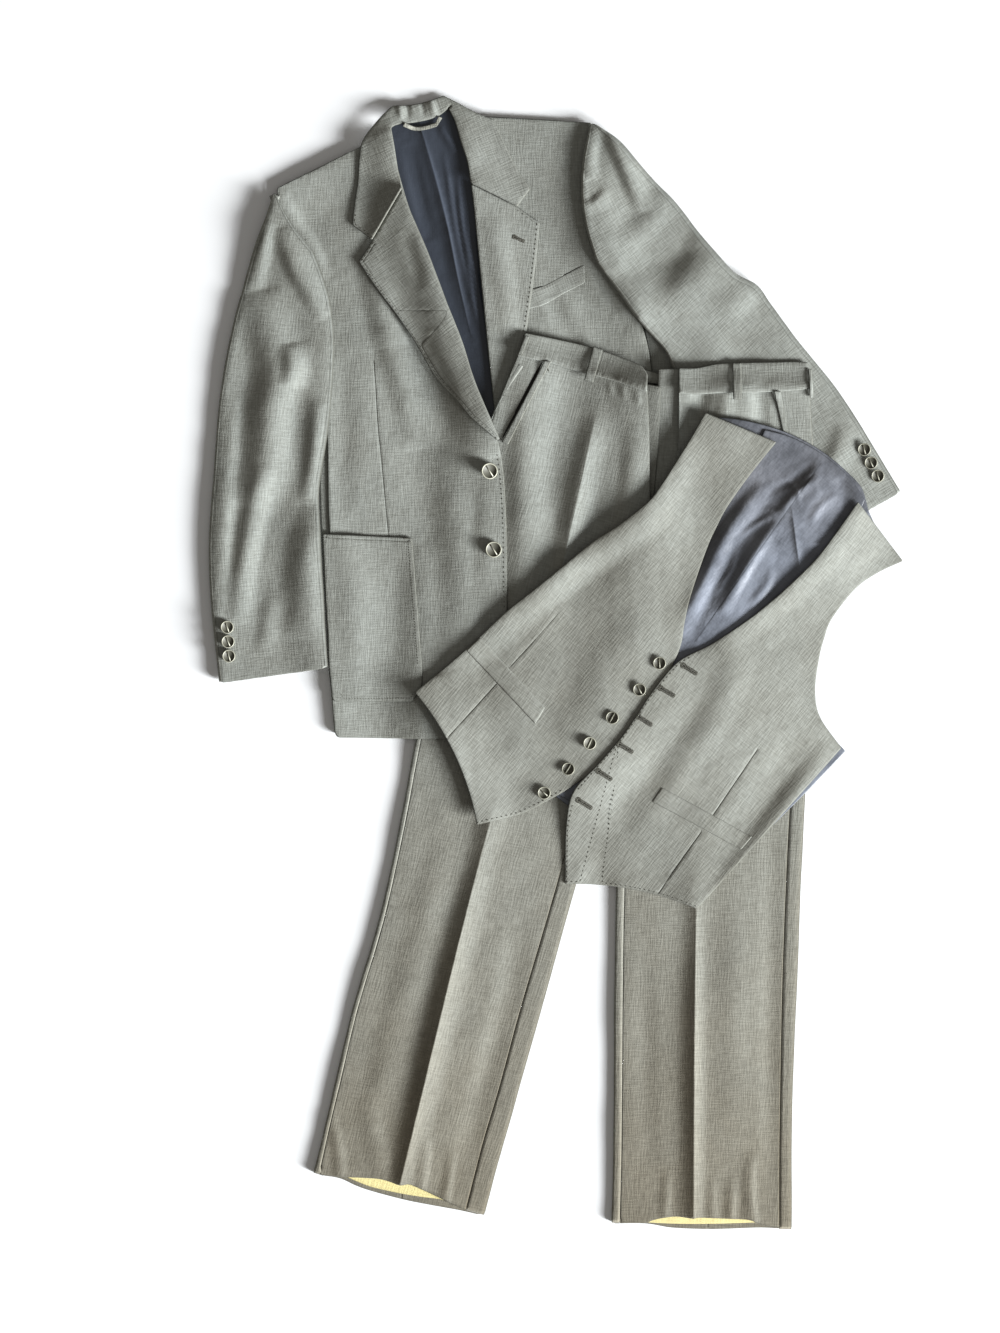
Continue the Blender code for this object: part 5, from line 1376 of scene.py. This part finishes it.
# hem is the near-black colour of the seams and of the painted shade along the edges.
def woven(name, dark, light, edge, hem, streak, slub, blotch, pitch, bump, sheen, crumple=0.0):
    """A cloth material from the weave group."""
    material = bpy.data.materials.new(name)
    material.use_nodes = True
    nodes = Nodes(material.node_tree)
    principled = material.node_tree.nodes["Principled BSDF"]
    uv = nodes.add("ShaderNodeUVMap", uv_map="grain").outputs["UV"]
    # The rim attribute carries painted shade along the edges, and warm carries the tan tone together with painted
    # shade.
    rim = nodes.add("ShaderNodeAttribute", attribute_name="rim").outputs["Fac"]
    seam = nodes.add("ShaderNodeAttribute", attribute_name="seam").outputs["Fac"]
    warm = nodes.add("ShaderNodeAttribute", attribute_name="warm").outputs["Fac"]
    weave = nodes.add(
        "ShaderNodeGroup",
        node_tree=weave_group(),
    )
    values = {
        "Vector": uv, "Edge shade": rim, "Seam": seam, "Dark": dark, "Light": light, "Edge": edge, "Seam and shade": hem,
        "Streak": streak, "Slub": slub, "Blotch": blotch, "Pitch": pitch, "Warm": warm,
        "Crumple": crumple,
    }
    for key, value in values.items():
        if isinstance(value, bpy.types.NodeSocket):
            material.node_tree.links.new(value, weave.inputs[key])
        else:
            weave.inputs[key].default_value = value
    relief_node = nodes.add("ShaderNodeBump", {
        "Height": weave.outputs["Height"], "Strength": bump, "Distance": 0.0006,
    })
    link = material.node_tree.links.new
    link(weave.outputs["Color"], principled.inputs["Base Color"])
    link(weave.outputs["Roughness"], principled.inputs["Roughness"])
    link(relief_node.outputs["Normal"], principled.inputs["Normal"])
    principled.inputs["Specular IOR Level"].default_value = 0.25
    principled.inputs["Sheen Weight"].default_value = sheen
    principled.inputs["Sheen Roughness"].default_value = 0.5
    return material


def suiting():
    settings = bpy.context.scene.suit_cloth
    # Its slubs are pale; its seams and the painted shade at its edges are near black.
    return woven("woven_suiting", tint(settings.suiting_dark, 1), tint(settings.suiting_light, 1),
                 (0.50, 0.53, 0.48, 1), (0.03, 0.029, 0.02, 1), 0.17, 0.16, 0.16, 0.0012, 0.25, 0.06)


def lining():
    colour = bpy.context.scene.suit_cloth.lining_colour
    made = woven("woven_lining", tint(colour, 0.8), tint(colour, 1.25), tint(colour, 1.8), tint(colour, 0.2),
                 0.10, 0.0, 0.3, 0.0005, 0.06, 0.0, 34.0)
    return glossy(made, 0.30)


def satin():
    colour = bpy.context.scene.suit_cloth.satin_colour
    # Its strong blotches paint pale and dark patches in place of the satin's reflections and shade.
    made = woven("woven_satin", tint(colour, 0.4), tint(colour, 1.5), tint(colour, 1.4), tint(colour, 0.2),
                 0.10, 0.0, 2.2, 0.0005, 0.06, 0.0, 150.0)
    return glossy(made, 0.40)


def glossy(material, roughness):
    """Gives a woven material the even gloss of satin."""
    tree = material.node_tree
    principled = tree.nodes["Principled BSDF"]
    for link in list(principled.inputs["Roughness"].links):
        tree.links.remove(link)
    principled.inputs["Roughness"].default_value = roughness
    principled.inputs["Specular IOR Level"].default_value = 0.5
    return material


def cotton():
    colour = bpy.context.scene.suit_cloth.cotton_colour
    return woven("woven_cotton", tint(colour, 0.88), tint(colour, 1.08), tint(colour, 1.12), tint(colour, 0.4),
                 0.14, 0.1, 0.3, 0.0007, 0.2, 0.0)


def braid():
    colour = bpy.context.scene.suit_cloth.braid_colour
    return woven("woven_braid", tint(colour, 0.75), tint(colour, 1.2), tint(colour, 1.35), tint(colour, 0.3),
                 0.25, 0.0, 0.2, 0.0014, 0.6, 0.0)


def plain(name, colour, roughness, metallic, wear):
    """A material for trims and the floor, with slight variation over Object coordinates."""
    material = bpy.data.materials.new(name)
    material.use_nodes = True
    nodes = Nodes(material.node_tree)
    principled = material.node_tree.nodes["Principled BSDF"]
    place = nodes.add("ShaderNodeTexCoord").outputs["Object"]
    scale = 900.0 if metallic or name == "thread" else 3.0
    value = nodes.noise(place, (scale, scale, scale), 2)
    link = material.node_tree.links.new
    link(nodes.mix(value, tint(colour, 1 - wear), tint(colour, 1 + wear)), principled.inputs["Base Color"])
    link(nodes.ranged(value, 0.0, 1.0, roughness - 0.06, roughness + 0.06), principled.inputs["Roughness"])
    principled.inputs["Metallic"].default_value = metallic
    return material


def finish_of(name):
    """A finish by name, made the first time it is asked for."""
    if name in FINISHES:
        return FINISHES[name]
    trim = bpy.context.scene.suit_trim
    makers = {
        "suiting": suiting, "lining": lining, "satin": satin, "cotton": cotton, "braid": braid,
        "thread": lambda: plain("thread", trim.thread_colour, 0.7, 0.0, 0.25),
        "silk": lambda: plain("silk", tint(trim.thread_colour, 1.1)[:3], 0.6, 0.0, 0.25),
        # The near-black finish of the buttonhole cuts and pocket mouths is painted shade.
        "gap_shade": lambda: plain("gap_shade", tint(trim.thread_colour, 0.12)[:3], 0.9, 0.0, 0.2),
        "metal": lambda: plain("metal", trim.metal_colour, 0.55, 0.25, 0.18),
        "recess": lambda: plain("recess", trim.recess_colour, 0.6, 0.0, 0.3),
    }
    FINISHES[name] = makers[name]()
    return FINISHES[name]


def surface_of(node):
    """A finder of a laid panel's highest point at a place, in mm."""
    piece = bpy.data.objects[node + "_cloth"]
    mesh = piece.data
    points = [vertex.co / MM for vertex in mesh.vertices]
    faces = [tuple(face.vertices) for face in mesh.polygons]
    return BVHTree.FromPolygons(points, faces)


def drop(tree, x, y, fallback=0.0):
    hit = tree.ray_cast(Vector((x, y, 500.0)), Vector((0, 0, -1)))
    return hit[0].z if hit[0] is not None else fallback


def edge_path(node, edge):
    """A path that follows a node's border anticlockwise between two places, moved in from it."""
    border = resampled(np.vstack([plan_border(node), plan_border(node)[:1]]), 2.0)[:-1]
    index = stretch(border, edge.start, edge.end)
    line = border[index] + inward(border)[index] * edge.inset
    for _ in range(3):
        line[1:-1] = (line[:-2] + 2 * line[1:-1] + line[2:]) / 4
    return line


def path_of(node, path):
    return edge_path(node, path) if isinstance(path, Edge) else smooth_path(path, 2.0)


def stitch_tree():
    """Geometry nodes that lay a small thread at even steps along each path."""
    found = bpy.data.node_groups.get("Stitches")
    if found:
        return found
    tree = bpy.data.node_groups.new("Stitches", "GeometryNodeTree")
    face = tree.interface
    face.new_socket("Geometry", in_out="INPUT", socket_type="NodeSocketGeometry")
    for name in ("Spacing", "Length", "Width"):
        face.new_socket(name, in_out="INPUT", socket_type="NodeSocketFloat")
    face.new_socket("Material", in_out="INPUT", socket_type="NodeSocketMaterial")
    face.new_socket("Geometry", in_out="OUTPUT", socket_type="NodeSocketGeometry")
    nodes = Nodes(tree)
    given = nodes.add("NodeGroupInput").outputs
    curve = nodes.add("GeometryNodeMeshToCurve", {0: given["Geometry"]}).outputs[0]
    even = nodes.add("GeometryNodeResampleCurve", {"Curve": curve, "Length": given["Spacing"]}, mode="LENGTH")
    thread = nodes.add("GeometryNodeMeshUVSphere", {"Segments": 6, "Rings": 4, "Radius": 0.5}).outputs[0]
    size = nodes.add("ShaderNodeCombineXYZ", {0: given["Length"], 1: given["Width"], 2: given["Width"]}).outputs[0]
    sized = nodes.add("GeometryNodeTransform", {"Geometry": thread, "Scale": size}).outputs[0]
    tangent = nodes.add("GeometryNodeInputTangent").outputs[0]
    turned = nodes.add("FunctionNodeAlignRotationToVector", {"Vector": tangent}, axis="X").outputs[0]
    laid = nodes.add("GeometryNodeInstanceOnPoints", {
        "Points": even.outputs[0], "Instance": sized, "Rotation": turned,
    }).outputs[0]
    real = nodes.add("GeometryNodeRealizeInstances", {"Geometry": laid}).outputs[0]
    painted = nodes.add("GeometryNodeSetMaterial", {"Geometry": real, "Material": given["Material"]}).outputs[0]
    nodes.add("NodeGroupOutput", {"Geometry": painted})
    return tree


def sewn(name, paths, spacing, length, width, material="thread"):
    """One plain mesh of stitches along paths given in mm, which rides on the suit."""
    mesh = bpy.data.meshes.new(name + "_paths")
    points = []
    edges = []
    for path in paths:
        edges += [(len(points) + i, len(points) + i + 1) for i in range(len(path) - 1)]
        points += [tuple(p * MM) for p in path]
    mesh.from_pydata(points, edges, [])
    source = bpy.data.objects.new(name + "_paths", mesh)
    bpy.context.scene.collection.objects.link(source)
    modifier = source.modifiers.new("Stitches", "NODES")
    modifier.node_group = stitch_tree()
    values = {"Spacing": spacing, "Length": length, "Width": width, "Material": finish_of(material)}
    for item in modifier.node_group.interface.items_tree:
        if item.in_out == "INPUT" and item.name in values:
            modifier[item.identifier] = values[item.name]
    depsgraph = bpy.context.evaluated_depsgraph_get()
    result = bpy.data.meshes.new_from_object(source.evaluated_get(depsgraph), depsgraph=depsgraph)
    bpy.data.objects.remove(source)
    result.shade_smooth()
    result.name = name
    made = bpy.data.objects.new(name, result)
    bpy.context.scene.collection.objects.link(made)
    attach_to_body(made, "root")
    return made


def on_surface(path, tree, lift):
    """Gives a plan path the height of the cloth under it."""
    heights = np.array([drop(tree, x, y, np.nan) for x, y in path])
    kept = np.isfinite(heights)
    return np.concatenate([path[kept], heights[kept, None] + lift], axis=1)


def plain_object(name, points, faces, materials, indices=None):
    """A smooth mesh object from points in mm and faces, riding on the suit."""
    mesh = bpy.data.meshes.new(name)
    mesh.from_pydata([tuple(p) for p in array(points) * MM], [], [tuple(int(i) for i in face) for face in faces])
    for material in materials:
        mesh.materials.append(finish_of(material))
    if indices is not None:
        mesh.polygons.foreach_set("material_index", np.asarray(indices, np.int32))
    mesh.validate()
    mesh.update()
    mesh.shade_smooth()
    made = bpy.data.objects.new(name, mesh)
    bpy.context.scene.collection.objects.link(made)
    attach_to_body(made, "root")
    return made


def buttonhole(name, hole, tree):
    """A keyhole buttonhole: a sheet of painted shade in the shape of its cut and round eyelet, and close stitches
    round it.
    """
    along = np.array([math.cos(math.radians(hole.angle)), math.sin(math.radians(hole.angle))])
    side = np.array([-along[1], along[0]])
    centre = np.array([hole.x, hole.y], float)
    half = hole.length / 2 - 1.6
    eye = centre - along * half
    outline = []
    for k in range(15):
        angle = math.pi * (0.18 + 1.64 * k / 14)
        outline.append(eye + (along * math.cos(angle) + side * math.sin(angle)) * (1 + hole.half))
    outline += [centre + along * t - side * hole.half for t in np.linspace(-half + 1.4, half, 10)]
    outline += [centre + along * t + side * hole.half for t in np.linspace(half, -half + 1.4, 10)]
    outline = array(outline)
    edges = [(i, (i + 1) % len(outline)) for i in range(len(outline))]
    made = delaunay_2d_cdt([Vector(p) for p in outline], edges, [], 1, 1e-6, False)
    points = np.array([[p[0], p[1], drop(tree, p[0], p[1]) + 0.12] for p in made[0]])
    gap_shade = plain_object(name + "_slit", points, made[2], ["gap_shade"])
    outward = -inward(outline) * np.sign(signed_area(outline))
    reach = 0.35 + 0.57 * hole.half
    middle = outline + outward * (reach + 0.1)
    dense = resampled(np.vstack([middle, middle[:1]]), 0.6)[:-1]
    outward = -inward(dense) * np.sign(signed_area(dense))
    threads = [on_surface(array([p - way * reach, p + way * reach]), tree, 0.15) for p, way in zip(dense, outward)]
    return [thread for thread in threads if len(thread) == 2]


def opening(name, path, width, tree):
    """A strip of painted shade that tapers to nothing at both ends: the dark mouth of a pocket."""
    share = np.linspace(0, 1, len(path))[:, None]
    side = inward(path, closed=False) * width / 2 * np.minimum(1, 6 * np.minimum(share, 1 - share) + 0.15)
    left = on_surface(path + side, tree, 0.1)
    right = on_surface(path - side, tree, 0.1)
    count = min(len(left), len(right))
    faces = [(k, k + 1, count + k + 1, count + k) for k in range(count - 1)]
    made = plain_object(name, np.vstack([right[:count], left[:count]]), faces, ["gap_shade"])


def lathe(profile, segments):
    """A turned form: the points of a profile of radius and height spun about Z, closed at both ends."""
    points = []
    faces = []
    rows = []
    for radius, height in profile:
        if radius < 1e-6:
            rows.append([len(points)])
            points.append((0, 0, height))
            continue
        rows.append(list(range(len(points), len(points) + segments)))
        for k in range(segments):
            angle = 2 * math.pi * k / segments
            points.append((radius * math.cos(angle), radius * math.sin(angle), height))
    for low, high in zip(rows, rows[1:]):
        for k in range(segments):
            n = (k + 1) % segments
            if len(low) == 1:
                faces.append((low[0], high[n], high[k]))
            elif len(high) == 1:
                faces.append((low[k], low[n], high[0]))
            else:
                faces.append((low[k], low[n], high[n], high[k]))
    return points, faces, rows


def make_button(button):
    """A metal button: a turned rim and shank, a dark recess and a bar across it."""
    low, high = (array(corner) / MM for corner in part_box(button.node))
    centre = (low + high)[:2] / 2
    radius = 10.0 if "front" in button.node else 8.0
    profile = [
        (0, 0), (2.4, 0), (2.4, 0.9), (0.72 * radius, 1.0), (0.93 * radius, 1.35), (radius, 2.0),
        (radius, 2.8), (0.98 * radius, 3.1), (0.93 * radius, 3.25), (0.87 * radius, 3.1),
        (0.86 * radius, 2.4), (0.85 * radius, 2.1), (0, 2.0),
    ]
    points, faces, rows = lathe(profile, SEGMENTS)
    recess = set(rows[-1] + rows[-2])
    indices = [1 if recess & set(face) and all(i in recess for i in face) else 0 for face in faces]
    reach = 0.88 * radius
    section = [(-0.7, 1.9), (-0.65, 2.6), (-0.4, 2.75), (0.4, 2.75), (0.65, 2.6), (0.7, 1.9)]
    start = len(points)
    angle = math.radians(button.bar)
    for end in (-1, 1):
        for across, height in section:
            x = end * math.sqrt(reach**2 - across**2)
            points.append((x * math.cos(angle) - across * math.sin(angle),
                           x * math.sin(angle) + across * math.cos(angle), height))
    count = len(section)
    for k in range(count):
        n = (k + 1) % count
        faces.append((start + k, start + n, start + count + n, start + count + k))
        indices.append(0)
    faces.append(tuple(start + count - 1 - k for k in range(count)))
    faces.append(tuple(start + count + k for k in range(count)))
    indices += [0, 0]
    lean_x = math.sin(math.radians(button.tilt_y))
    lean_y = math.sin(math.radians(button.tilt_x))
    return centre, radius, array(points), faces, indices, (lean_x, lean_y)


class SUIT_OT_jacket_below(bpy.types.Operator):
    """Lays the jacket's back, sides, lining and left front, with its lapel and sleeve"""

    bl_idname = "suit.jacket_below"
    bl_label = "Jacket: back, left front and sleeve"

    def execute(self, context):
        lay_panels(JACKET_BELOW)
        return {"FINISHED"}


class SUIT_OT_trousers(bpy.types.Operator):
    """Lays the trousers over the jacket's left front"""

    bl_idname = "suit.trousers"
    bl_label = "Trousers"

    def execute(self, context):
        lay_panels(TROUSERS)
        return {"FINISHED"}


class SUIT_OT_jacket_above(bpy.types.Operator):
    """Lays the jacket's right front, its pocket, lapel, collar and sleeve"""

    bl_idname = "suit.jacket_above"
    bl_label = "Jacket: right front and collar"

    def execute(self, context):
        lay_panels(JACKET_ABOVE)
        return {"FINISHED"}


class SUIT_OT_waistcoat(bpy.types.Operator):
    """Lays the waistcoat over the trousers"""

    bl_idname = "suit.waistcoat"
    bl_label = "Waistcoat"

    def execute(self, context):
        lay_panels(WAISTCOAT_PANELS)
        return {"FINISHED"}


class SUIT_OT_stitching(bpy.types.Operator):
    """Sews the pick stitches, the pocket's topstitching and the bar tacks"""

    bl_idname = "suit.stitching"
    bl_label = "Stitching"

    def execute(self, context):
        trim = context.scene.suit_trim
        trees = {}
        for name, rows, spacing, length, width in (
            ("pick_stitches", PICK_STITCHES, trim.stitch_spacing, trim.stitch_length, trim.stitch_width),
            ("top_stitches", TOP_STITCHES, 3.4 * MM, 2.4 * MM, 0.5 * MM),
            ("bar_tacks", BAR_TACKS, 0.7 * MM, 1.2 * MM, 1.2 * MM),
        ):
            paths = []
            for row in rows:
                if row.node not in trees:
                    trees[row.node] = surface_of(row.node)
                path = on_surface(path_of(row.node, row.path), trees[row.node], 0.05)
                if len(path) > 1:
                    paths.append(path)
            sewn(name, paths, spacing, length, width)
        return {"FINISHED"}


class SUIT_OT_buttonholes(bpy.types.Operator):
    """Works the buttonholes of the waistcoat and the lapel, and lays painted shade in the pockets' mouths"""

    bl_idname = "suit.buttonholes"
    bl_label = "Buttonholes and pocket openings"

    def execute(self, context):
        paths = []
        for number, hole in enumerate(BUTTONHOLES, 1):
            tree = surface_of(hole.node)
            paths += buttonhole("waistcoat_buttonhole_%d" % number, hole, tree)
        tree = surface_of(LAPEL_BUTTONHOLE.node)
        paths += buttonhole("lapel_buttonhole", LAPEL_BUTTONHOLE, tree)
        sewn("buttonhole_stitches", paths, 9 * MM, 1.5 * MM, 0.6 * MM, "silk")
        for hole in OPENINGS:
            opening(hole.welt + "_opening", edge_path(hole.welt, hole.edge), hole.width, surface_of(hole.node))
        return {"FINISHED"}


class SUIT_OT_buttons(bpy.types.Operator):
    """Sets each button on the cloth under it"""

    bl_idname = "suit.buttons"
    bl_label = "Buttons"

    def execute(self, context):
        for button in BUTTONS:
            centre, radius, points, faces, indices, lean = make_button(button)
            rise = 0.0
            around = np.stack([centre[0] + points[:, 0], centre[1] + points[:, 1]], axis=1)
            wide = np.hypot(points[:, 0], points[:, 1])
            tilt = points[:, 0] * lean[0] + points[:, 1] * lean[1]
            top = PILE.read(PILE.top, around)
            under = points[:, 2] + tilt - top
            rise = -under[wide < radius + 0.1].min() + 0.1
            place = points + np.array([centre[0], centre[1], rise])
            place[:, 2] += tilt
            piece = plain_object(button.node + "_made", place, faces, ["metal", "recess"], indices)
            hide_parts(button.node)
        return {"FINISHED"}


class SUIT_OT_stage(bpy.types.Operator):
    """Makes the floor, the lights and the camera"""

    bl_idname = "suit.stage"
    bl_label = "Stage"

    def execute(self, context):
        stage = context.scene.suit_stage
        form = bmesh.new()
        bmesh.ops.create_grid(form, x_segments=1, y_segments=1, size=8.0)
        mesh = bpy.data.meshes.new("floor")
        form.to_mesh(mesh)
        form.free()
        mesh.transform(Matrix.Translation((0, 0, -0.4 * MM)))
        mesh.materials.append(plain("floor", stage.floor_colour, 0.85, 0.0, 0.004))
        floor = bpy.data.objects.new("floor", mesh)
        context.scene.collection.objects.link(floor)
        key = bpy.data.lights.new("key_light", "AREA")
        key.shape = "DISK"
        key.size = 2.2
        key.energy = stage.key_strength
        key.color = (0.96, 0.98, 1.0)
        place_light(key, Vector((6.17, -4.48, 2.47)))
        low = bpy.data.lights.new("low_light", "SUN")
        low.energy = stage.low_strength
        low.color = (0.97, 0.99, 1.0)
        low.angle = math.radians(15)
        place_light(low, Vector((3.6, -1.6, 0.87)))
        world = bpy.data.worlds.new("studio")
        world.use_nodes = True
        background = world.node_tree.nodes["Background"]
        background.inputs["Color"].default_value = (1.0, 0.96, 0.90, 1)
        background.inputs["Strength"].default_value = stage.sky_strength
        context.scene.world = world
        context.scene.view_settings.view_transform = "Standard"
        data = bpy.data.cameras.new("camera")
        data.lens = stage.lens
        data.sensor_width = 36.0
        data.clip_end = 100.0
        camera = bpy.data.objects.new("camera", data)
        height = 0.833125 / (18.0 / stage.lens)
        camera.location = (-70 * MM, -3.1 * MM, height + 8 * MM)
        context.scene.collection.objects.link(camera)
        context.scene.camera = camera
        return {"FINISHED"}


def place_light(light, place):
    """Adds a light at a place, aimed at the middle of the suit."""
    made = bpy.data.objects.new(light.name, light)
    made.location = place
    made.rotation_euler = (-place).to_track_quat("-Z", "Y").to_euler()
    bpy.context.scene.collection.objects.link(made)


def lay_panels(panels):
    for panel in panels:
        lay_panel(panel, PANEL_ORDER[panel.node])


ALL_PANELS = JACKET_BELOW + TROUSERS + JACKET_ABOVE + WAISTCOAT_PANELS
PANELS = {panel.node: panel for panel in ALL_PANELS}
PANEL_ORDER = {panel.node: order for order, panel in enumerate(ALL_PANELS, 1)}


class SUIT_PT_panel(bpy.types.Panel):
    """Lists the suit's settings and steps in the sidebar"""

    bl_idname = "SUIT_PT_panel"
    bl_label = "Suit laid flat"
    bl_space_type = "VIEW_3D"
    bl_region_type = "UI"
    bl_category = "Suit"

    def draw(self, context):
        for group in (context.scene.suit_cloth, context.scene.suit_trim, context.scene.suit_stage):
            box = self.layout.box()
            for key in group.bl_rna.properties.keys():
                if key not in ("rna_type", "name"):
                    box.prop(group, key)
        for operator in OPERATORS:
            self.layout.operator(operator.bl_idname)


OPERATORS = (
    SUIT_OT_jacket_below,
    SUIT_OT_trousers,
    SUIT_OT_jacket_above,
    SUIT_OT_waistcoat,
    SUIT_OT_stitching,
    SUIT_OT_buttonholes,
    SUIT_OT_buttons,
    SUIT_OT_stage,
)
CLASSES = (SuitClothSettings, SuitTrimSettings, SuitStageSettings) + OPERATORS + (SUIT_PT_panel,)


def register():
    for made in CLASSES:
        bpy.utils.register_class(made)
    bpy.types.Scene.suit_cloth = bpy.props.PointerProperty(type=SuitClothSettings)
    bpy.types.Scene.suit_trim = bpy.props.PointerProperty(type=SuitTrimSettings)
    bpy.types.Scene.suit_stage = bpy.props.PointerProperty(type=SuitStageSettings)


def unregister():
    del bpy.types.Scene.suit_stage
    del bpy.types.Scene.suit_trim
    del bpy.types.Scene.suit_cloth
    for made in reversed(CLASSES):
        bpy.utils.unregister_class(made)


def main():
    register()
    for operator in OPERATORS:
        group, name = operator.bl_idname.split(".")
        getattr(getattr(bpy.ops, group), name)()


if __name__ == "__main__":
    main()
